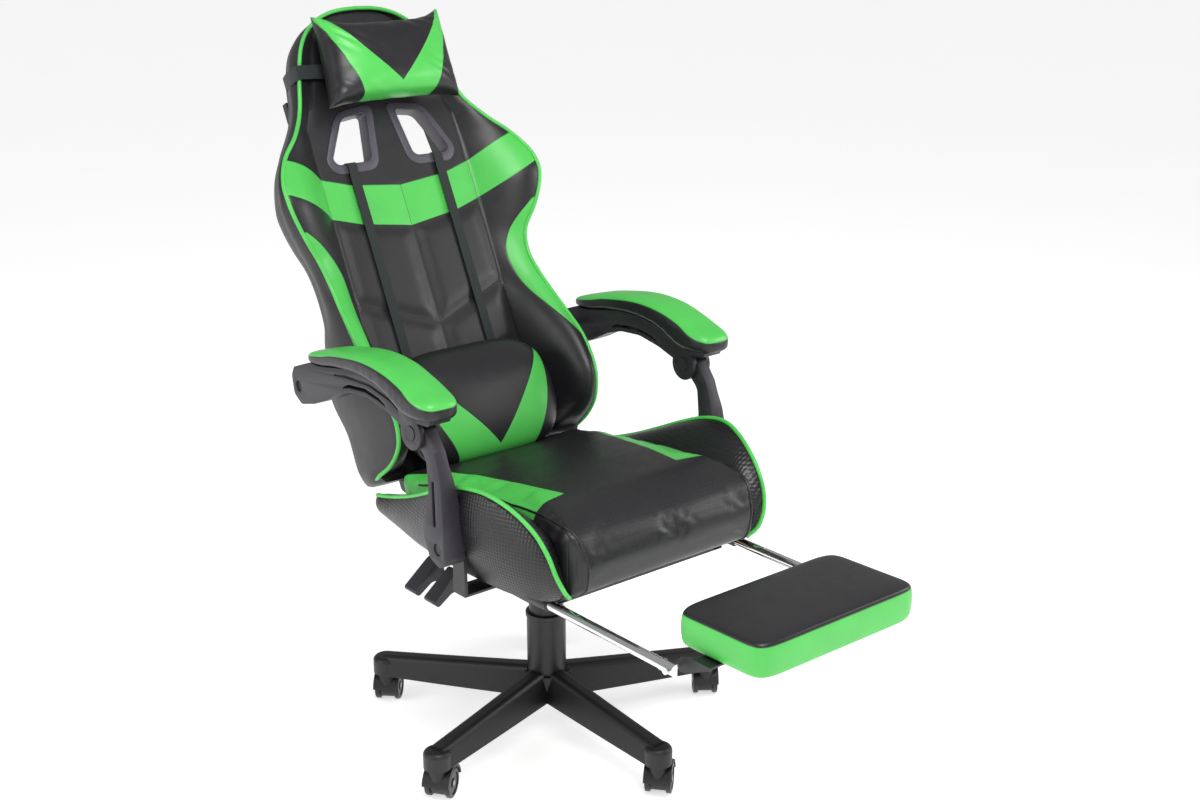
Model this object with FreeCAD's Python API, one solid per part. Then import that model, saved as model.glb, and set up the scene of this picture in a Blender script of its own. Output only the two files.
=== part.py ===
import FreeCAD, Part
import math
import os

# Gaming chair, millimetres.  +Z is up, the sitter faces -Y and the sitter's left hand is at +X.
# The origin is on the floor, on the axis of the gas column.

# ---------------------------------------------------------------- driving dimensions
LEG_COUNT = 5
FIRST_LEG_ANGLE = 52.2
CASTER_CIRCLE_R = 305.0
CASTER_HEADINGS = (-45.0, -46.0, -55.0, -50.0, -38.0)
WHEEL_R = 25.0
WHEEL_WIDTH = 9.0
WHEEL_TRACK = 35.0
CASTER_TRAIL = 16.0
AXLE_R = 4.0
STEM_R = 5.5
STEM_TOP_Z = 88.0
HOOD_TOP_Z = 59.0

HUB_R = 40.0
HUB_BOTTOM_Z = 62.0
HUB_TOP_Z = 109.0
LEG_END_R = 23.0
LEG_END_TOP_Z = 97.0
LEG_END_BOTTOM_Z = 61.0

OUTER_TUBE_R = 25.0
OUTER_TUBE_TOP_Z = 214.0
PRESSURE_TUBE_R = 14.0
PRESSURE_TUBE_TOP_Z = 322.0
GAS_ROD_R = 5.0
LOWER_COVER_R = 34.0
UPPER_COVER_R = 30.0
COVER_TOP_Z = 222.0
MECHANISM_BOTTOM_Z = 262.0
MECHANISM_TOP_Z = 366.0
RUNNING_GAP = 0.05
CLEAR = 0.3

FRAME_BOTTOM_Z = 372.0
FRAME_TOP_Z = 391.7
FRAME_TUBE = 19.7
FRAME_SIDE_X = 165.0
SEAT_BOARD_TOP_Z = 399.0
SEAT_HALF_WIDTH = 192.0
SEAT_REAR_Y = 145.0

RECLINE_Y = 165.0
RECLINE_Z = 412.0
BACK_TILT = 25.9

ARM_OUTER_X = 302.0
ARM_INNER_X = 263.0
ARM_DISC_R = 27.0
ARM_DISC_THICKNESS = 8.6
ARM_EYE_R = 20.0
ARM_LOWER_PIVOT = (-117.0, 454.0)
ARM_DISC = (-55.0, 627.0)
ARM_REAR_PIVOT = (279.0, 622.0)
ARM_BOLT_R = 5.0
ARM_OPEN_PIVOT_GAP = 4.6

ROD_X = 197.0
ROD_Z = 383.0
ROD_R = 8.0
ROD_REAR_Y = -60.0
ROD_FRONT_Y = -520.0
FOOT_PIVOT = (-536.0, 383.0)
FOOTREST_HALF_WIDTH = 166.0

EAR_X = 179.0

# ---------------------------------------------------------------- drawing helpers
TILT_COS = math.cos(math.radians(BACK_TILT))
TILT_SIN = math.sin(math.radians(BACK_TILT))


def vec(x, y, z):
    return FreeCAD.Vector(x, y, z)


def in_side_view(x):
    """A map from (y, z) to space, on the plane at x."""
    return lambda y, z: vec(x, y, z)


def in_back_side_view(x):
    """A map from (s, n) to space: s runs up the tilted back and n runs forward out of it."""
    return lambda s, n: vec(x, s * TILT_SIN - n * TILT_COS, s * TILT_COS + n * TILT_SIN)


def in_back_front_view(n):
    """A map from (x, s) to space, on the plane n forward of the tilted back."""
    return lambda x, s: vec(x, s * TILT_SIN - n * TILT_COS, s * TILT_COS + n * TILT_SIN)


def in_plan(z):
    """A map from (x, y) to space, at height z."""
    return lambda x, y: vec(x, y, z)


BACK_UP = vec(0, TILT_SIN, TILT_COS)
BACK_FORWARD = vec(0, -TILT_COS, TILT_SIN)


def outline(points, radius, place):
    """A closed face whose corners are rounded with arcs; a point may carry its own radius."""
    corners = [(p[0], p[1], p[2] if len(p) > 2 else radius) for p in points]
    edges = []
    starts, ends, arcs = [], [], []
    for i, (u, v, r) in enumerate(corners):
        pu, pv, _ = corners[i - 1]
        nu, nv, _ = corners[(i + 1) % len(corners)]
        la = math.hypot(pu - u, pv - v)
        lb = math.hypot(nu - u, nv - v)
        ax, ay = (pu - u) / la, (pv - v) / la
        bx, by = (nu - u) / lb, (nv - v) / lb
        turn = math.pi - math.acos(max(-1.0, min(1.0, ax * bx + ay * by)))
        cut = min(r * math.tan(turn / 2), 0.48 * la, 0.48 * lb)
        if cut < 0.01:
            starts.append((u, v))
            ends.append((u, v))
            arcs.append(None)
            continue
        reach = cut / math.tan(turn / 2)
        mx, my = ax + bx, ay + by
        ml = math.hypot(mx, my)
        centre_gap = math.hypot(cut, reach)
        arcs.append((u + mx / ml * (centre_gap - reach), v + my / ml * (centre_gap - reach)))
        starts.append((u + ax * cut, v + ay * cut))
        ends.append((u + bx * cut, v + by * cut))
    for i in range(len(corners)):
        if arcs[i]:
            edges.append(Part.Arc(place(*starts[i]), place(*arcs[i]), place(*ends[i])).toShape())
        following = starts[(i + 1) % len(corners)]
        if math.hypot(following[0] - ends[i][0], following[1] - ends[i][1]) > 0.01:
            edges.append(Part.makeLine(place(*ends[i]), place(*following)))
    return Part.Face(Part.Wire(edges))


def side_plate(points, x0, x1, radius=0.0):
    """A plate whose outline is drawn in side view and which spans x0 to x1."""
    return outline(points, radius, in_side_view(x0)).extrude(vec(x1 - x0, 0, 0))


def back_side_plate(points, x0, x1, radius=0.0):
    return outline(points, radius, in_back_side_view(x0)).extrude(vec(x1 - x0, 0, 0))


def back_front_plate(points, n0, n1, radius=0.0):
    return outline(points, radius, in_back_front_view(n0)).extrude(BACK_FORWARD * (n1 - n0))


def box(x0, x1, y0, y1, z0, z1):
    return Part.makeBox(x1 - x0, y1 - y0, z1 - z0, vec(x0, y0, z0))


def rod_x(x0, x1, y, z, r):
    return Part.makeCylinder(r, x1 - x0, vec(x0, y, z), vec(1, 0, 0))


def rod_y(y0, y1, x, z, r):
    return Part.makeCylinder(r, y1 - y0, vec(x, y0, z), vec(0, 1, 0))


def rod_z(z0, z1, r, x=0.0, y=0.0):
    return Part.makeCylinder(r, z1 - z0, vec(x, y, z0))


def mirrored(shape):
    return shape.mirror(vec(0, 0, 0), vec(1, 0, 0))


def loft(wires):
    return Part.makeLoft(wires, True, False)


def ruled_loft(wires):
    return Part.makeLoft(wires, True, True)


def export(name, shape):
    if not shape.isValid() or not shape.Solids:
        raise RuntimeError(name + " is not a valid solid")
    whole = shape.Solids[0] if len(shape.Solids) == 1 else Part.makeCompound(shape.Solids)
    whole.exportStep("parts/" + name + ".step")


def export_group(name, shapes):
    export(name, Part.makeCompound(shapes))


def export_pair(name, right_shape):
    """Writes a right-hand piece and its mirror image as two nodes."""
    export(name + "_right", right_shape)
    export(name + "_left", mirrored(right_shape))


# ---------------------------------------------------------------- star base
def leg_section(reach, half_bottom, half_top, z0, z1, radius):
    """A leg's cross-section: a trapezium with a well-rounded top, square to the leg."""
    points = [(-half_bottom, z0, 1.5), (half_bottom, z0, 1.5), (half_top, z1, radius),
              (-half_top, z1, radius)]
    return outline(points, radius, lambda u, v: vec(reach, u, v)).OuterWire


def make_leg():
    skin = loft([
        leg_section(20, 29, 15, 64, 117, 11),
        leg_section(160, 25, 14, 61, 107, 11),
        leg_section(CASTER_CIRCLE_R, 23, 14, LEG_END_BOTTOM_Z, LEG_END_TOP_Z, 10)])
    end = rod_z(LEG_END_BOTTOM_Z, LEG_END_TOP_Z - 4, LEG_END_R, CASTER_CIRCLE_R)
    end = end.makeFillet(9, [e for e in end.Edges if e.BoundBox.ZMin > LEG_END_TOP_Z - 5])
    channel = loft([
        leg_section(52, 23, 13, 58, 104, 8),
        leg_section(CASTER_CIRCLE_R - 34, 17, 11, 58, 90, 8)])
    rib = box(46, CASTER_CIRCLE_R - 20, -1.8, 1.8, LEG_END_BOTTOM_Z + 4, 96)
    return skin.fuse(end).cut(channel).fuse(rib.common(skin))


def leg_angle(i):
    return FIRST_LEG_ANGLE + i * 360.0 / LEG_COUNT


def make_star_base():
    hub = rod_z(HUB_BOTTOM_Z, HUB_TOP_Z, HUB_R)
    base = hub
    leg = make_leg()
    for i in range(LEG_COUNT):
        turned = leg.copy()
        turned.rotate(vec(0, 0, 0), vec(0, 0, 1), leg_angle(i))
        base = base.fuse(turned)
    base = base.cut(rod_z(0, 200, OUTER_TUBE_R))
    base = base.cut(rod_z(HUB_TOP_Z, 200, LOWER_COVER_R + 1.0))
    for i in range(LEG_COUNT):
        x, y = caster_centre(i)
        base = base.cut(rod_z(40, STEM_TOP_Z, STEM_R, x, y))
    return base.removeSplitter()


def caster_centre(i):
    a = math.radians(leg_angle(i))
    return CASTER_CIRCLE_R * math.cos(a), CASTER_CIRCLE_R * math.sin(a)


def make_stem(i):
    x, y = caster_centre(i)
    stem = rod_z(36, STEM_TOP_Z, STEM_R, x, y)
    return stem.fuse(rod_z(HOOD_TOP_Z + CLEAR, LEG_END_BOTTOM_Z, 8.5, x, y))


# ---------------------------------------------------------------- casters
# A caster is drawn with its stem axis at the origin, its axle along X and its wheels trailing to +Y.
def make_hood():
    body = rod_x(-WHEEL_TRACK / 2 + WHEEL_WIDTH / 2 + 0.6, WHEEL_TRACK / 2 - WHEEL_WIDTH / 2 - 0.6,
                 CASTER_TRAIL, WHEEL_R, 21)
    neck = rod_z(WHEEL_R, HOOD_TOP_Z, 13.0)
    roof = rod_x(-23.0, 23.0, CASTER_TRAIL, WHEEL_R, 31.5)
    hollow = rod_x(-30.0, 30.0, CASTER_TRAIL, WHEEL_R, 27.5)
    below = box(-40, 40, CASTER_TRAIL - 50, CASTER_TRAIL + 50, -20, WHEEL_R + 4)
    roof = roof.cut(hollow).cut(below)
    hood = body.fuse(neck).fuse(roof)
    hood = hood.fuse(rod_z(WHEEL_R + 20, HOOD_TOP_Z, 14.5))
    for side in (-1, 1):
        x0 = side * WHEEL_TRACK / 2 - WHEEL_WIDTH / 2 - 0.6
        hood = hood.cut(rod_x(x0, x0 + WHEEL_WIDTH + 1.2, CASTER_TRAIL, WHEEL_R, 27.5))
    hood = hood.cut(rod_z(30, 80, STEM_R + RUNNING_GAP))
    hood = hood.cut(rod_x(-40, 40, CASTER_TRAIL, WHEEL_R, AXLE_R))
    return hood.removeSplitter()


def make_axle():
    half = WHEEL_TRACK / 2 + WHEEL_WIDTH / 2
    return rod_x(-half, half, CASTER_TRAIL, WHEEL_R, AXLE_R)


def make_wheel(side):
    x0 = side * WHEEL_TRACK / 2 - WHEEL_WIDTH / 2
    wheel = rod_x(x0, x0 + WHEEL_WIDTH, CASTER_TRAIL, WHEEL_R, WHEEL_R)
    rims = [e for e in wheel.Edges if e.Curve.TypeId == "Part::GeomCircle"]
    wheel = wheel.makeFillet(2.5, rims)
    face = x0 + WHEEL_WIDTH if side > 0 else x0
    dish = rod_x(face - 1.5, face + 1.5, CASTER_TRAIL, WHEEL_R, 19)
    cap = rod_x(face - 2.5, face + 0.0, CASTER_TRAIL, WHEEL_R, 8) if side > 0 else \
        rod_x(face, face + 2.5, CASTER_TRAIL, WHEEL_R, 8)
    wheel = wheel.cut(dish).fuse(cap)
    return wheel.cut(rod_x(x0 - 1, x0 + WHEEL_WIDTH + 1, CASTER_TRAIL, WHEEL_R, AXLE_R + RUNNING_GAP))


def place_caster(shape, i):
    x, y = caster_centre(i)
    placed = shape.copy()
    placed.rotate(vec(0, 0, 0), vec(0, 0, 1), CASTER_HEADINGS[i])
    placed.translate(vec(x, y, 0))
    return placed


def make_casters():
    hood = make_hood()
    axle = make_axle()
    wheels = [make_wheel(-1), make_wheel(1)]
    for i in range(LEG_COUNT):
        number = str(i + 1)
        export("caster_hood_" + number, place_caster(hood, i))
        export("caster_axle_" + number, place_caster(axle, i))
        export_group("caster_wheels_" + number, [place_caster(w, i) for w in wheels])


# ---------------------------------------------------------------- gas column
def make_outer_tube():
    tube = rod_z(HUB_BOTTOM_Z - 2, OUTER_TUBE_TOP_Z, OUTER_TUBE_R)
    tube = tube.cut(rod_z(HUB_BOTTOM_Z + 2, 190, 22))
    tube = tube.cut(rod_z(189, OUTER_TUBE_TOP_Z + 1, PRESSURE_TUBE_R + RUNNING_GAP))
    return tube.cut(rod_z(HUB_BOTTOM_Z - 3, HUB_BOTTOM_Z + 3, GAS_ROD_R + RUNNING_GAP))


def make_gas_rod():
    rod = rod_z(HUB_BOTTOM_Z - 1, 230, GAS_ROD_R)
    return rod.fuse(rod_z(224, 230, 11.5))


def make_pressure_tube():
    tube = rod_z(122, PRESSURE_TUBE_TOP_Z, PRESSURE_TUBE_R)
    tube = tube.cut(rod_z(128, 312, 12))
    return tube.cut(rod_z(120, 130, GAS_ROD_R + RUNNING_GAP))


def make_lower_cover():
    cover = rod_z(HUB_TOP_Z, COVER_TOP_Z, LOWER_COVER_R)
    ring = rod_z(COVER_TOP_Z - 9, COVER_TOP_Z, LOWER_COVER_R + 2.0)
    ring = ring.makeFillet(2.0, [e for e in ring.Edges if e.Curve.TypeId == "Part::GeomCircle"])
    cover = cover.fuse(ring)
    return cover.cut(rod_z(HUB_TOP_Z - 1, COVER_TOP_Z + 1, LOWER_COVER_R - 3.5))


def make_upper_cover():
    cover = rod_z(148, MECHANISM_BOTTOM_Z - CLEAR, UPPER_COVER_R)
    cover = cover.fuse(rod_z(MECHANISM_BOTTOM_Z - 7, MECHANISM_BOTTOM_Z - CLEAR, UPPER_COVER_R + 2.5))
    return cover.cut(rod_z(147, MECHANISM_BOTTOM_Z, UPPER_COVER_R - 2.5))


# ---------------------------------------------------------------- seat mechanism
LEVER_Z = 340.0
LEVER_YS = {"height_lever": -42.0, "recline_lever": 14.0}
LEVER_R = 4.0
LEVER_PIVOT_X = -58.0


def make_mechanism_housing():
    """A folded steel channel with a tapered socket for the gas column."""
    profile = [(-92, 330, 8), (-60, MECHANISM_BOTTOM_Z, 12), (42, MECHANISM_BOTTOM_Z, 10),
               (58, 300, 8), (58, MECHANISM_TOP_Z, 0.5), (-92, MECHANISM_TOP_Z, 0.5)]
    inner = [(-88, 333, 5), (-57, MECHANISM_BOTTOM_Z + 3, 9), (40, MECHANISM_BOTTOM_Z + 3, 7),
             (55, 302, 5), (55, MECHANISM_TOP_Z + 1, 0.5), (-88, MECHANISM_TOP_Z + 1, 0.5)]
    housing = side_plate(profile, -60, 60).cut(side_plate(inner, -57, 57))
    housing = housing.fuse(rod_z(MECHANISM_BOTTOM_Z, PRESSURE_TUBE_TOP_Z + 4, 20))
    housing = housing.cut(rod_z(200, PRESSURE_TUBE_TOP_Z, PRESSURE_TUBE_R))
    for y in LEVER_YS.values():
        housing = housing.cut(box(-61, -56, y - 7, y + 7, LEVER_Z - 8, LEVER_Z + 22))
    return housing.removeSplitter()


def make_mechanism_plate():
    """The flat plate on top of the channel, with four slotted bolt holes."""
    outer = [(-100, -112), (100, -112), (100, 84), (-100, 84)]
    plate = outline(outer, 16, in_plan(MECHANISM_TOP_Z)).extrude(vec(0, 0,
                                                                     FRAME_BOTTOM_Z - MECHANISM_TOP_Z))
    for x in (-82, 82):
        for y in (-94, 66):
            plate = plate.cut(rod_z(300, 400, 4.0, x, y))
    return plate


def make_mechanism_bolts():
    bolts = []
    for x in (-82, 82):
        for y in (-94, 66):
            shank = rod_z(MECHANISM_TOP_Z - 1, FRAME_TOP_Z - 3, 4.0, x, y)
            bolts.append(shank.fuse(rod_z(MECHANISM_TOP_Z - 6, MECHANISM_TOP_Z, 7.0, x, y)))
    return bolts


def make_lever(y):
    """A round shank that runs out under the seat and ends in a spoon-shaped paddle."""
    shank = rod_x(-216, -50, y, LEVER_Z, LEVER_R)
    profile = [(-213, 371, 3), (-222, 376, 4), (-249, 352, 14), (-271, 332, 6),
               (-262, 324, 6), (-232, 342, 14), (-210, 334, 6), (-203, 341, 3)]
    spoon = outline(profile, 3, lambda x, z: vec(x, y - 17, z)).extrude(vec(0, 34, 0))
    shape = [(-196, y - 9), (-228, y - 13), (-280, y - 17, 12), (-280, y + 17, 12), (-228, y + 13),
             (-196, y + 9)]
    plan = outline(shape, 8, in_plan(300)).extrude(vec(0, 0, 120))
    grip = rod_x(-48, -44, y, LEVER_Z, 8.0)
    trunnion = rod_y(y - 5, y + 5, LEVER_PIVOT_X, LEVER_Z, LEVER_R + 1.5)
    shank = shank.fuse(rod_x(-50, -44, y, LEVER_Z, LEVER_R)).fuse(trunnion)
    return shank.fuse(spoon.common(plan)).fuse(grip)


# ---------------------------------------------------------------- seat
def tube_bar(x0, x1, y0, y1):
    """A square steel tube of the seat frame, with a 1.6 mm wall."""
    bar = box(x0, x1, y0, y1, FRAME_BOTTOM_Z, FRAME_TOP_Z)
    wall = 1.6
    if x1 - x0 > y1 - y0:
        core = box(x0 - 1, x1 + 1, y0 + wall, y1 - wall, FRAME_BOTTOM_Z + wall, FRAME_TOP_Z - wall)
    else:
        core = box(x0 + wall, x1 - wall, y0 - 1, y1 + 1, FRAME_BOTTOM_Z + wall, FRAME_TOP_Z - wall)
    return bar, core


def make_seat_frame():
    half = FRAME_TUBE / 2
    inner_x = FRAME_SIDE_X - half
    bars = [tube_bar(-inner_x - FRAME_TUBE, -inner_x, -252, 162),
            tube_bar(inner_x, inner_x + FRAME_TUBE, -252, 162)]
    for y in (-242, -94, 66, 142):
        bars.append(tube_bar(-inner_x - 1, inner_x + 1, y - half, y + half))
    frame = bars[0][0]
    for bar, _ in bars[1:]:
        frame = frame.fuse(bar)
    for _, core in bars:
        frame = frame.cut(core)
    for x in (-82, 82):
        for y in (-94, 66):
            frame = frame.cut(rod_z(360, FRAME_TOP_Z - 3, 4.0, x, y))
    lug_profile = [(147, FRAME_BOTTOM_Z + 4, 2), (RECLINE_Y + 2, FRAME_BOTTOM_Z + 2, 10),
                   (RECLINE_Y + 16, RECLINE_Z - 4, 12), (RECLINE_Y + 8, RECLINE_Z + 16, 12),
                   (RECLINE_Y - 12, RECLINE_Z + 14, 10), (147, FRAME_TOP_Z, 4)]
    lug = side_plate(lug_profile, 137.0, 142.0)
    lug = lug.cut(rod_x(100, 200, RECLINE_Y, RECLINE_Z, 6.0))
    frame = frame.fuse(lug).fuse(mirrored(lug))
    return frame.removeSplitter()


def make_seat_board():
    half = 186
    points = [(-half, -268, 24), (half, -268, 24), (half, 110, 2), (124, 110, 2), (124, 138, 6),
              (-124, 138, 6), (-124, 110, 2), (-half, 110, 2)]
    return outline(points, 6, in_plan(FRAME_TOP_Z + 0.1)).extrude(vec(0, 0,
                                                                      SEAT_BOARD_TOP_Z - FRAME_TOP_Z - 0.1))


SEAT_PROFILE = [(-300, 400, 6), (-322, 412, 18), (-331, 452, 30), (-312, 503, 34), (-230, 522, 120),
                (-110, 514, 200), (0, 502, 200), (60, 488, 160), (110, 469, 80), (SEAT_REAR_Y, 461, 8),
                (SEAT_REAR_Y, 400, 3)]


def make_seat_cushion():
    block = side_plate(SEAT_PROFILE, -SEAT_HALF_WIDTH, SEAT_HALF_WIDTH)
    points = [(-168, -340, 10), (168, -340, 10), (SEAT_HALF_WIDTH, -300, 20),
              (SEAT_HALF_WIDTH, SEAT_REAR_Y + 5, 4),
              (-SEAT_HALF_WIDTH, SEAT_REAR_Y + 5, 4), (-SEAT_HALF_WIDTH, -300, 20)]
    cushion = block.common(outline(points, 10, in_plan(380)).extrude(vec(0, 0, 200)))
    return cushion.cut(box(-200, 200, -400, 200, 300, SEAT_BOARD_TOP_Z + 0.3))


# Each wing section: y, ridge x, ridge z, inner top z, outer bulge x, bottom z.
WING_SECTIONS = [
    (-306, 217, 455, 440, 216, 400),
    (-294, 228, 492, 470, 232, 396),
    (-262, 239, 520, 500, 246, 395),
    (-206, 246, 546, 508, 254, 395),
    (-160, 250, 554, 506, 256, 395),
    (-105, 250, 541, 504, 255, 395),
    (-40, 246, 510, 496, 253, 396),
    (37, 240, 481, 474, 250, 398),
    (110, 234, 460, 452, 246, 402),
    (172, 228, 441, 434, 238, 408)]


def make_wing():
    inner = SEAT_HALF_WIDTH + 0.6
    wires = []
    for y, ridge_x, ridge_z, inner_z, bulge_x, bottom in WING_SECTIONS:
        rise = ridge_z - bottom
        points = [(inner, bottom), (bulge_x - 12, bottom), (bulge_x, bottom + 0.25 * rise),
                  (bulge_x, bottom + 0.6 * rise), (ridge_x + 3, ridge_z), (ridge_x - 5, ridge_z + 1),
                  (inner, inner_z)]
        wires.append(Part.makePolygon([vec(x, y, z) for x, z in points + points[:1]]))
    return ruled_loft(wires)


def make_footrest_guide():
    guide = rod_y(-262, -70, ROD_X, ROD_Z, 11.0)
    tab = box(FRAME_SIDE_X + FRAME_TUBE / 2, ROD_X, -250, -230, ROD_Z - 4, ROD_Z + 4)
    guide = guide.fuse(tab).fuse(box(FRAME_SIDE_X + FRAME_TUBE / 2, ROD_X, -110, -90, ROD_Z - 4, ROD_Z + 4))
    guide = guide.cut(rod_y(-300, 200, ROD_X, ROD_Z, ROD_R + RUNNING_GAP))
    return guide.common(box(FRAME_SIDE_X + FRAME_TUBE / 2, 260, -300, 200, 300, 393))


def make_recline_pin():
    pin = rod_x(126, 146, RECLINE_Y, RECLINE_Z, 6.0)
    pin = pin.fuse(rod_x(142.0, 148.0, RECLINE_Y, RECLINE_Z, 9.5))
    return pin.fuse(rod_x(124.0, 129.4, RECLINE_Y, RECLINE_Z, 9.0))


def make_arm_bracket():
    """A cranked strip from the frame rail, round under the wing, to the arm's lower bolt."""
    y, z = ARM_LOWER_PIVOT
    foot = box(FRAME_SIDE_X - 8, 258, y - 16, y + 16, FRAME_BOTTOM_Z - 4.1, FRAME_BOTTOM_Z - 0.1)
    upright_profile = [(y - 16, FRAME_BOTTOM_Z - 4.1), (y + 16, FRAME_BOTTOM_Z - 4.1), (y + 14, z + 12, 12),
                       (y - 14, z + 12, 12)]
    upright = side_plate(upright_profile, 257.0, ARM_INNER_X - CLEAR)
    return foot.fuse(upright).cut(rod_x(200, 300, y, z, ARM_BOLT_R))


def make_arm_lower_bolt():
    y, z = ARM_LOWER_PIVOT
    bolt = rod_x(256.6, 296.0, y, z, ARM_BOLT_R)
    return bolt.fuse(rod_x(293.0, 299.0, y, z, 9.0))


# ---------------------------------------------------------------- arms
def make_arm_post():
    """A curved strut, wide at the seat bolt and tapering to an eye between the beam's discs."""
    y, z = ARM_LOWER_PIVOT
    dy, dz = ARM_DISC
    profile = [(-124, 424, 10), (-96, 434, 16), (-80, 470, 40), (-92, 540, 60), (-82, 590, 30),
               (-62, 608, 20),
               (-66, 640, 12), (-80, 637, 10), (-104, 606, 14), (-122, 560, 60), (-134, 490, 50),
               (-136, 436, 12)]
    post = side_plate(profile, ARM_INNER_X, ARM_OUTER_X - 1.0)
    post = post.fuse(rod_x(ARM_INNER_X, ARM_OUTER_X - 1.0, dy, dz, ARM_EYE_R))
    eye_x0 = ARM_INNER_X + ARM_DISC_THICKNESS + CLEAR
    eye_x1 = ARM_OUTER_X - ARM_DISC_THICKNESS - CLEAR
    front = [(ARM_INNER_X, 400), (ARM_OUTER_X - 1, 400), (ARM_OUTER_X - 1, 490), (eye_x1, 586),
             (eye_x1, 680),
             (eye_x0, 680), (eye_x0, 586), (ARM_INNER_X, 490)]
    post = post.common(outline(front, 60, lambda x, h: vec(x, -200, h)).extrude(vec(0, 300, 0)))
    slot = [(-115, 490), (-107, 490), (-98, 560), (-105, 560)]
    post = post.cut(side_plate(slot, ARM_OUTER_X - 10, ARM_OUTER_X + 5, 3))
    post = post.cut(rod_x(200, 320, y, z, ARM_BOLT_R + RUNNING_GAP))
    post = post.cut(rod_x(292.5, 320, y, z, 10.0))
    return post.cut(rod_x(200, 320, dy, dz, ARM_BOLT_R + ARM_OPEN_PIVOT_GAP)).removeSplitter()


BEAM_PROFILE = [(292, 653, 6), (300, 637, 6), (295, 606, 12), (272, 592, 12), (229, 603, 40),
                (188, 620, 60),
                (147, 641, 60), (109, 652, 60), (60, 655, 60), (10, 646, 60), (-34, 632, 20),
                (-60, 646, 10),
                (-106, 650, 8), (-110, 662, 5), (-64, 655, 20), (-34, 663, 30), (6, 680, 50),
                (60, 690, 60), (120, 688, 80), (210, 672, 40), (240, 672, 20)]
BEAM_SLOT = [(150, 648, 3), (120, 657, 20), (70, 662, 20), (30, 657, 20), (0, 649, 2), (30, 662, 20),
             (70, 668, 20), (120, 663, 20)]
BEAM_GROOVE = [(190, 664, 2), (130, 672, 20), (60, 675, 20), (0, 665, 20), (-40, 648, 1),
               (0, 670, 20), (60, 680, 20), (130, 677, 20)]


def make_arm_beam():
    """The upper arm: a curved, slotted beam that ends in two round discs over the post's eye."""
    y, z = ARM_REAR_PIVOT
    dy, dz = ARM_DISC
    beam = side_plate(BEAM_PROFILE, ARM_INNER_X, ARM_OUTER_X)
    beam = beam.fuse(rod_x(ARM_INNER_X, ARM_OUTER_X, dy, dz, ARM_DISC_R))
    gap_x0 = ARM_INNER_X + ARM_DISC_THICKNESS
    gap_x1 = ARM_OUTER_X - ARM_DISC_THICKNESS
    beam = beam.cut(rod_x(gap_x0, gap_x1, dy, dz, ARM_DISC_R + 0.6))
    beam = beam.cut(side_plate([(-112, 560), (-40, 560), (-40, 630), (-80, 649), (-112, 649)], gap_x0,
                               gap_x1))
    beam = beam.cut(side_plate(BEAM_SLOT, 200, 320))
    beam = beam.cut(side_plate(BEAM_GROOVE, ARM_OUTER_X - 3, 320))
    beam = beam.cut(rod_x(200, 320, y, z, ARM_BOLT_R + RUNNING_GAP))
    beam = beam.cut(rod_x(ARM_OUTER_X - 8, 320, y, z, 9.5))
    beam = beam.cut(rod_x(200, 320, dy, dz, ARM_BOLT_R))
    return beam.cut(rod_x(ARM_OUTER_X - 3, 320, dy, dz, 12.0)).removeSplitter()


def make_pivot_cap():
    dy, dz = ARM_DISC
    bolt = rod_x(ARM_INNER_X - 2, ARM_OUTER_X - 1, dy, dz, ARM_BOLT_R)
    washer = rod_x(ARM_INNER_X - 2, ARM_INNER_X, dy, dz, 11.5)
    return bolt.fuse(rod_x(ARM_OUTER_X - 3, ARM_OUTER_X + 1, dy, dz, 11.5)).fuse(washer)


PAD_PROFILE = [(246, 673, 8), (252, 684, 8), (190, 712, 60), (80, 726, 80), (-10, 716, 80), (-80, 688, 50),
               (-118, 670, 12), (-122, 658, 8), (-106, 662.6, 3), (-64, 656.5, 20), (-34, 664.5, 30),
               (6, 681.5, 50), (60, 691.5, 60), (120, 689.5, 80), (210, 673.6, 30)]


def make_arm_pad():
    pad = side_plate(PAD_PROFILE, 246.0, 322.0)
    plan = [(246, -124, 34), (322, -124, 34), (322, 256, 36), (246, 256, 36)]
    return pad.common(outline(plan, 30, in_plan(600)).extrude(vec(0, 0, 200)))


# ---------------------------------------------------------------- back
# Each back section: s, ridge x, ridge n, bolster foot x, rear x, rear n.
BACK_SECTIONS = [
    (487, 206, 60, 140, 200, -30),
    (500, 212, 82, 138, 206, -34),
    (530, 213, 122, 136, 212, -37),
    (578, 214, 142, 134, 216, -38),
    (640, 221, 130, 132, 222, -38),
    (724, 216, 95, 132, 218, -36),
    (790, 212, 66, 136, 213, -35),
    (850, 214, 52, 142, 214, -34),
    (905, 236, 70, 148, 236, -20),
    (968, 261, 88, 150, 258, 14),
    (1010, 257, 82, 150, 252, 16),
    (1056, 234, 68, 148, 226, -10),
    (1100, 196, 56, 140, 190, -30),
    (1141, 168, 44, 130, 164, -36),
    (1208, 148, 44, 120, 146, -36),
    (1262, 128, 44, 100, 126, -34),
    (1298, 88, 44, 66, 86, -30),
    (1317, 30, 42, 20, 30, -22)]

PANEL_N = -36.0
PANEL_THICKNESS = 5.0
POCKET_FRONT_N = -20.0
BACK_FACE_N = 28.0
BACK_TUBE_X = 144.0
BACK_TUBE_HALF = 8.0
CROSS_BAR_S = (620.0, 800.0, 1012.0, 1172.0)
HINGE_PLATE_TOP_S = 600.0
RECESS_N = 2.0


def make_back_body():
    wires = []
    for s, ridge_x, ridge_n, foot_x, rear_x, rear_n in BACK_SECTIONS:
        centre_rear = min(rear_n, PANEL_N)
        half = [(foot_x, BACK_FACE_N), (ridge_x - 10, ridge_n - 2), (ridge_x, ridge_n), (rear_x, rear_n),
                (min(rear_x - 14, 155), centre_rear)]
        points = [(x, n) for x, n in half] + [(-x, n) for x, n in reversed(half)]
        place = in_back_front_view(0)
        wires.append(Part.makePolygon([place(x, s) + BACK_FORWARD * n for x, n in points + points[:1]]))
    return ruled_loft(wires)


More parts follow.
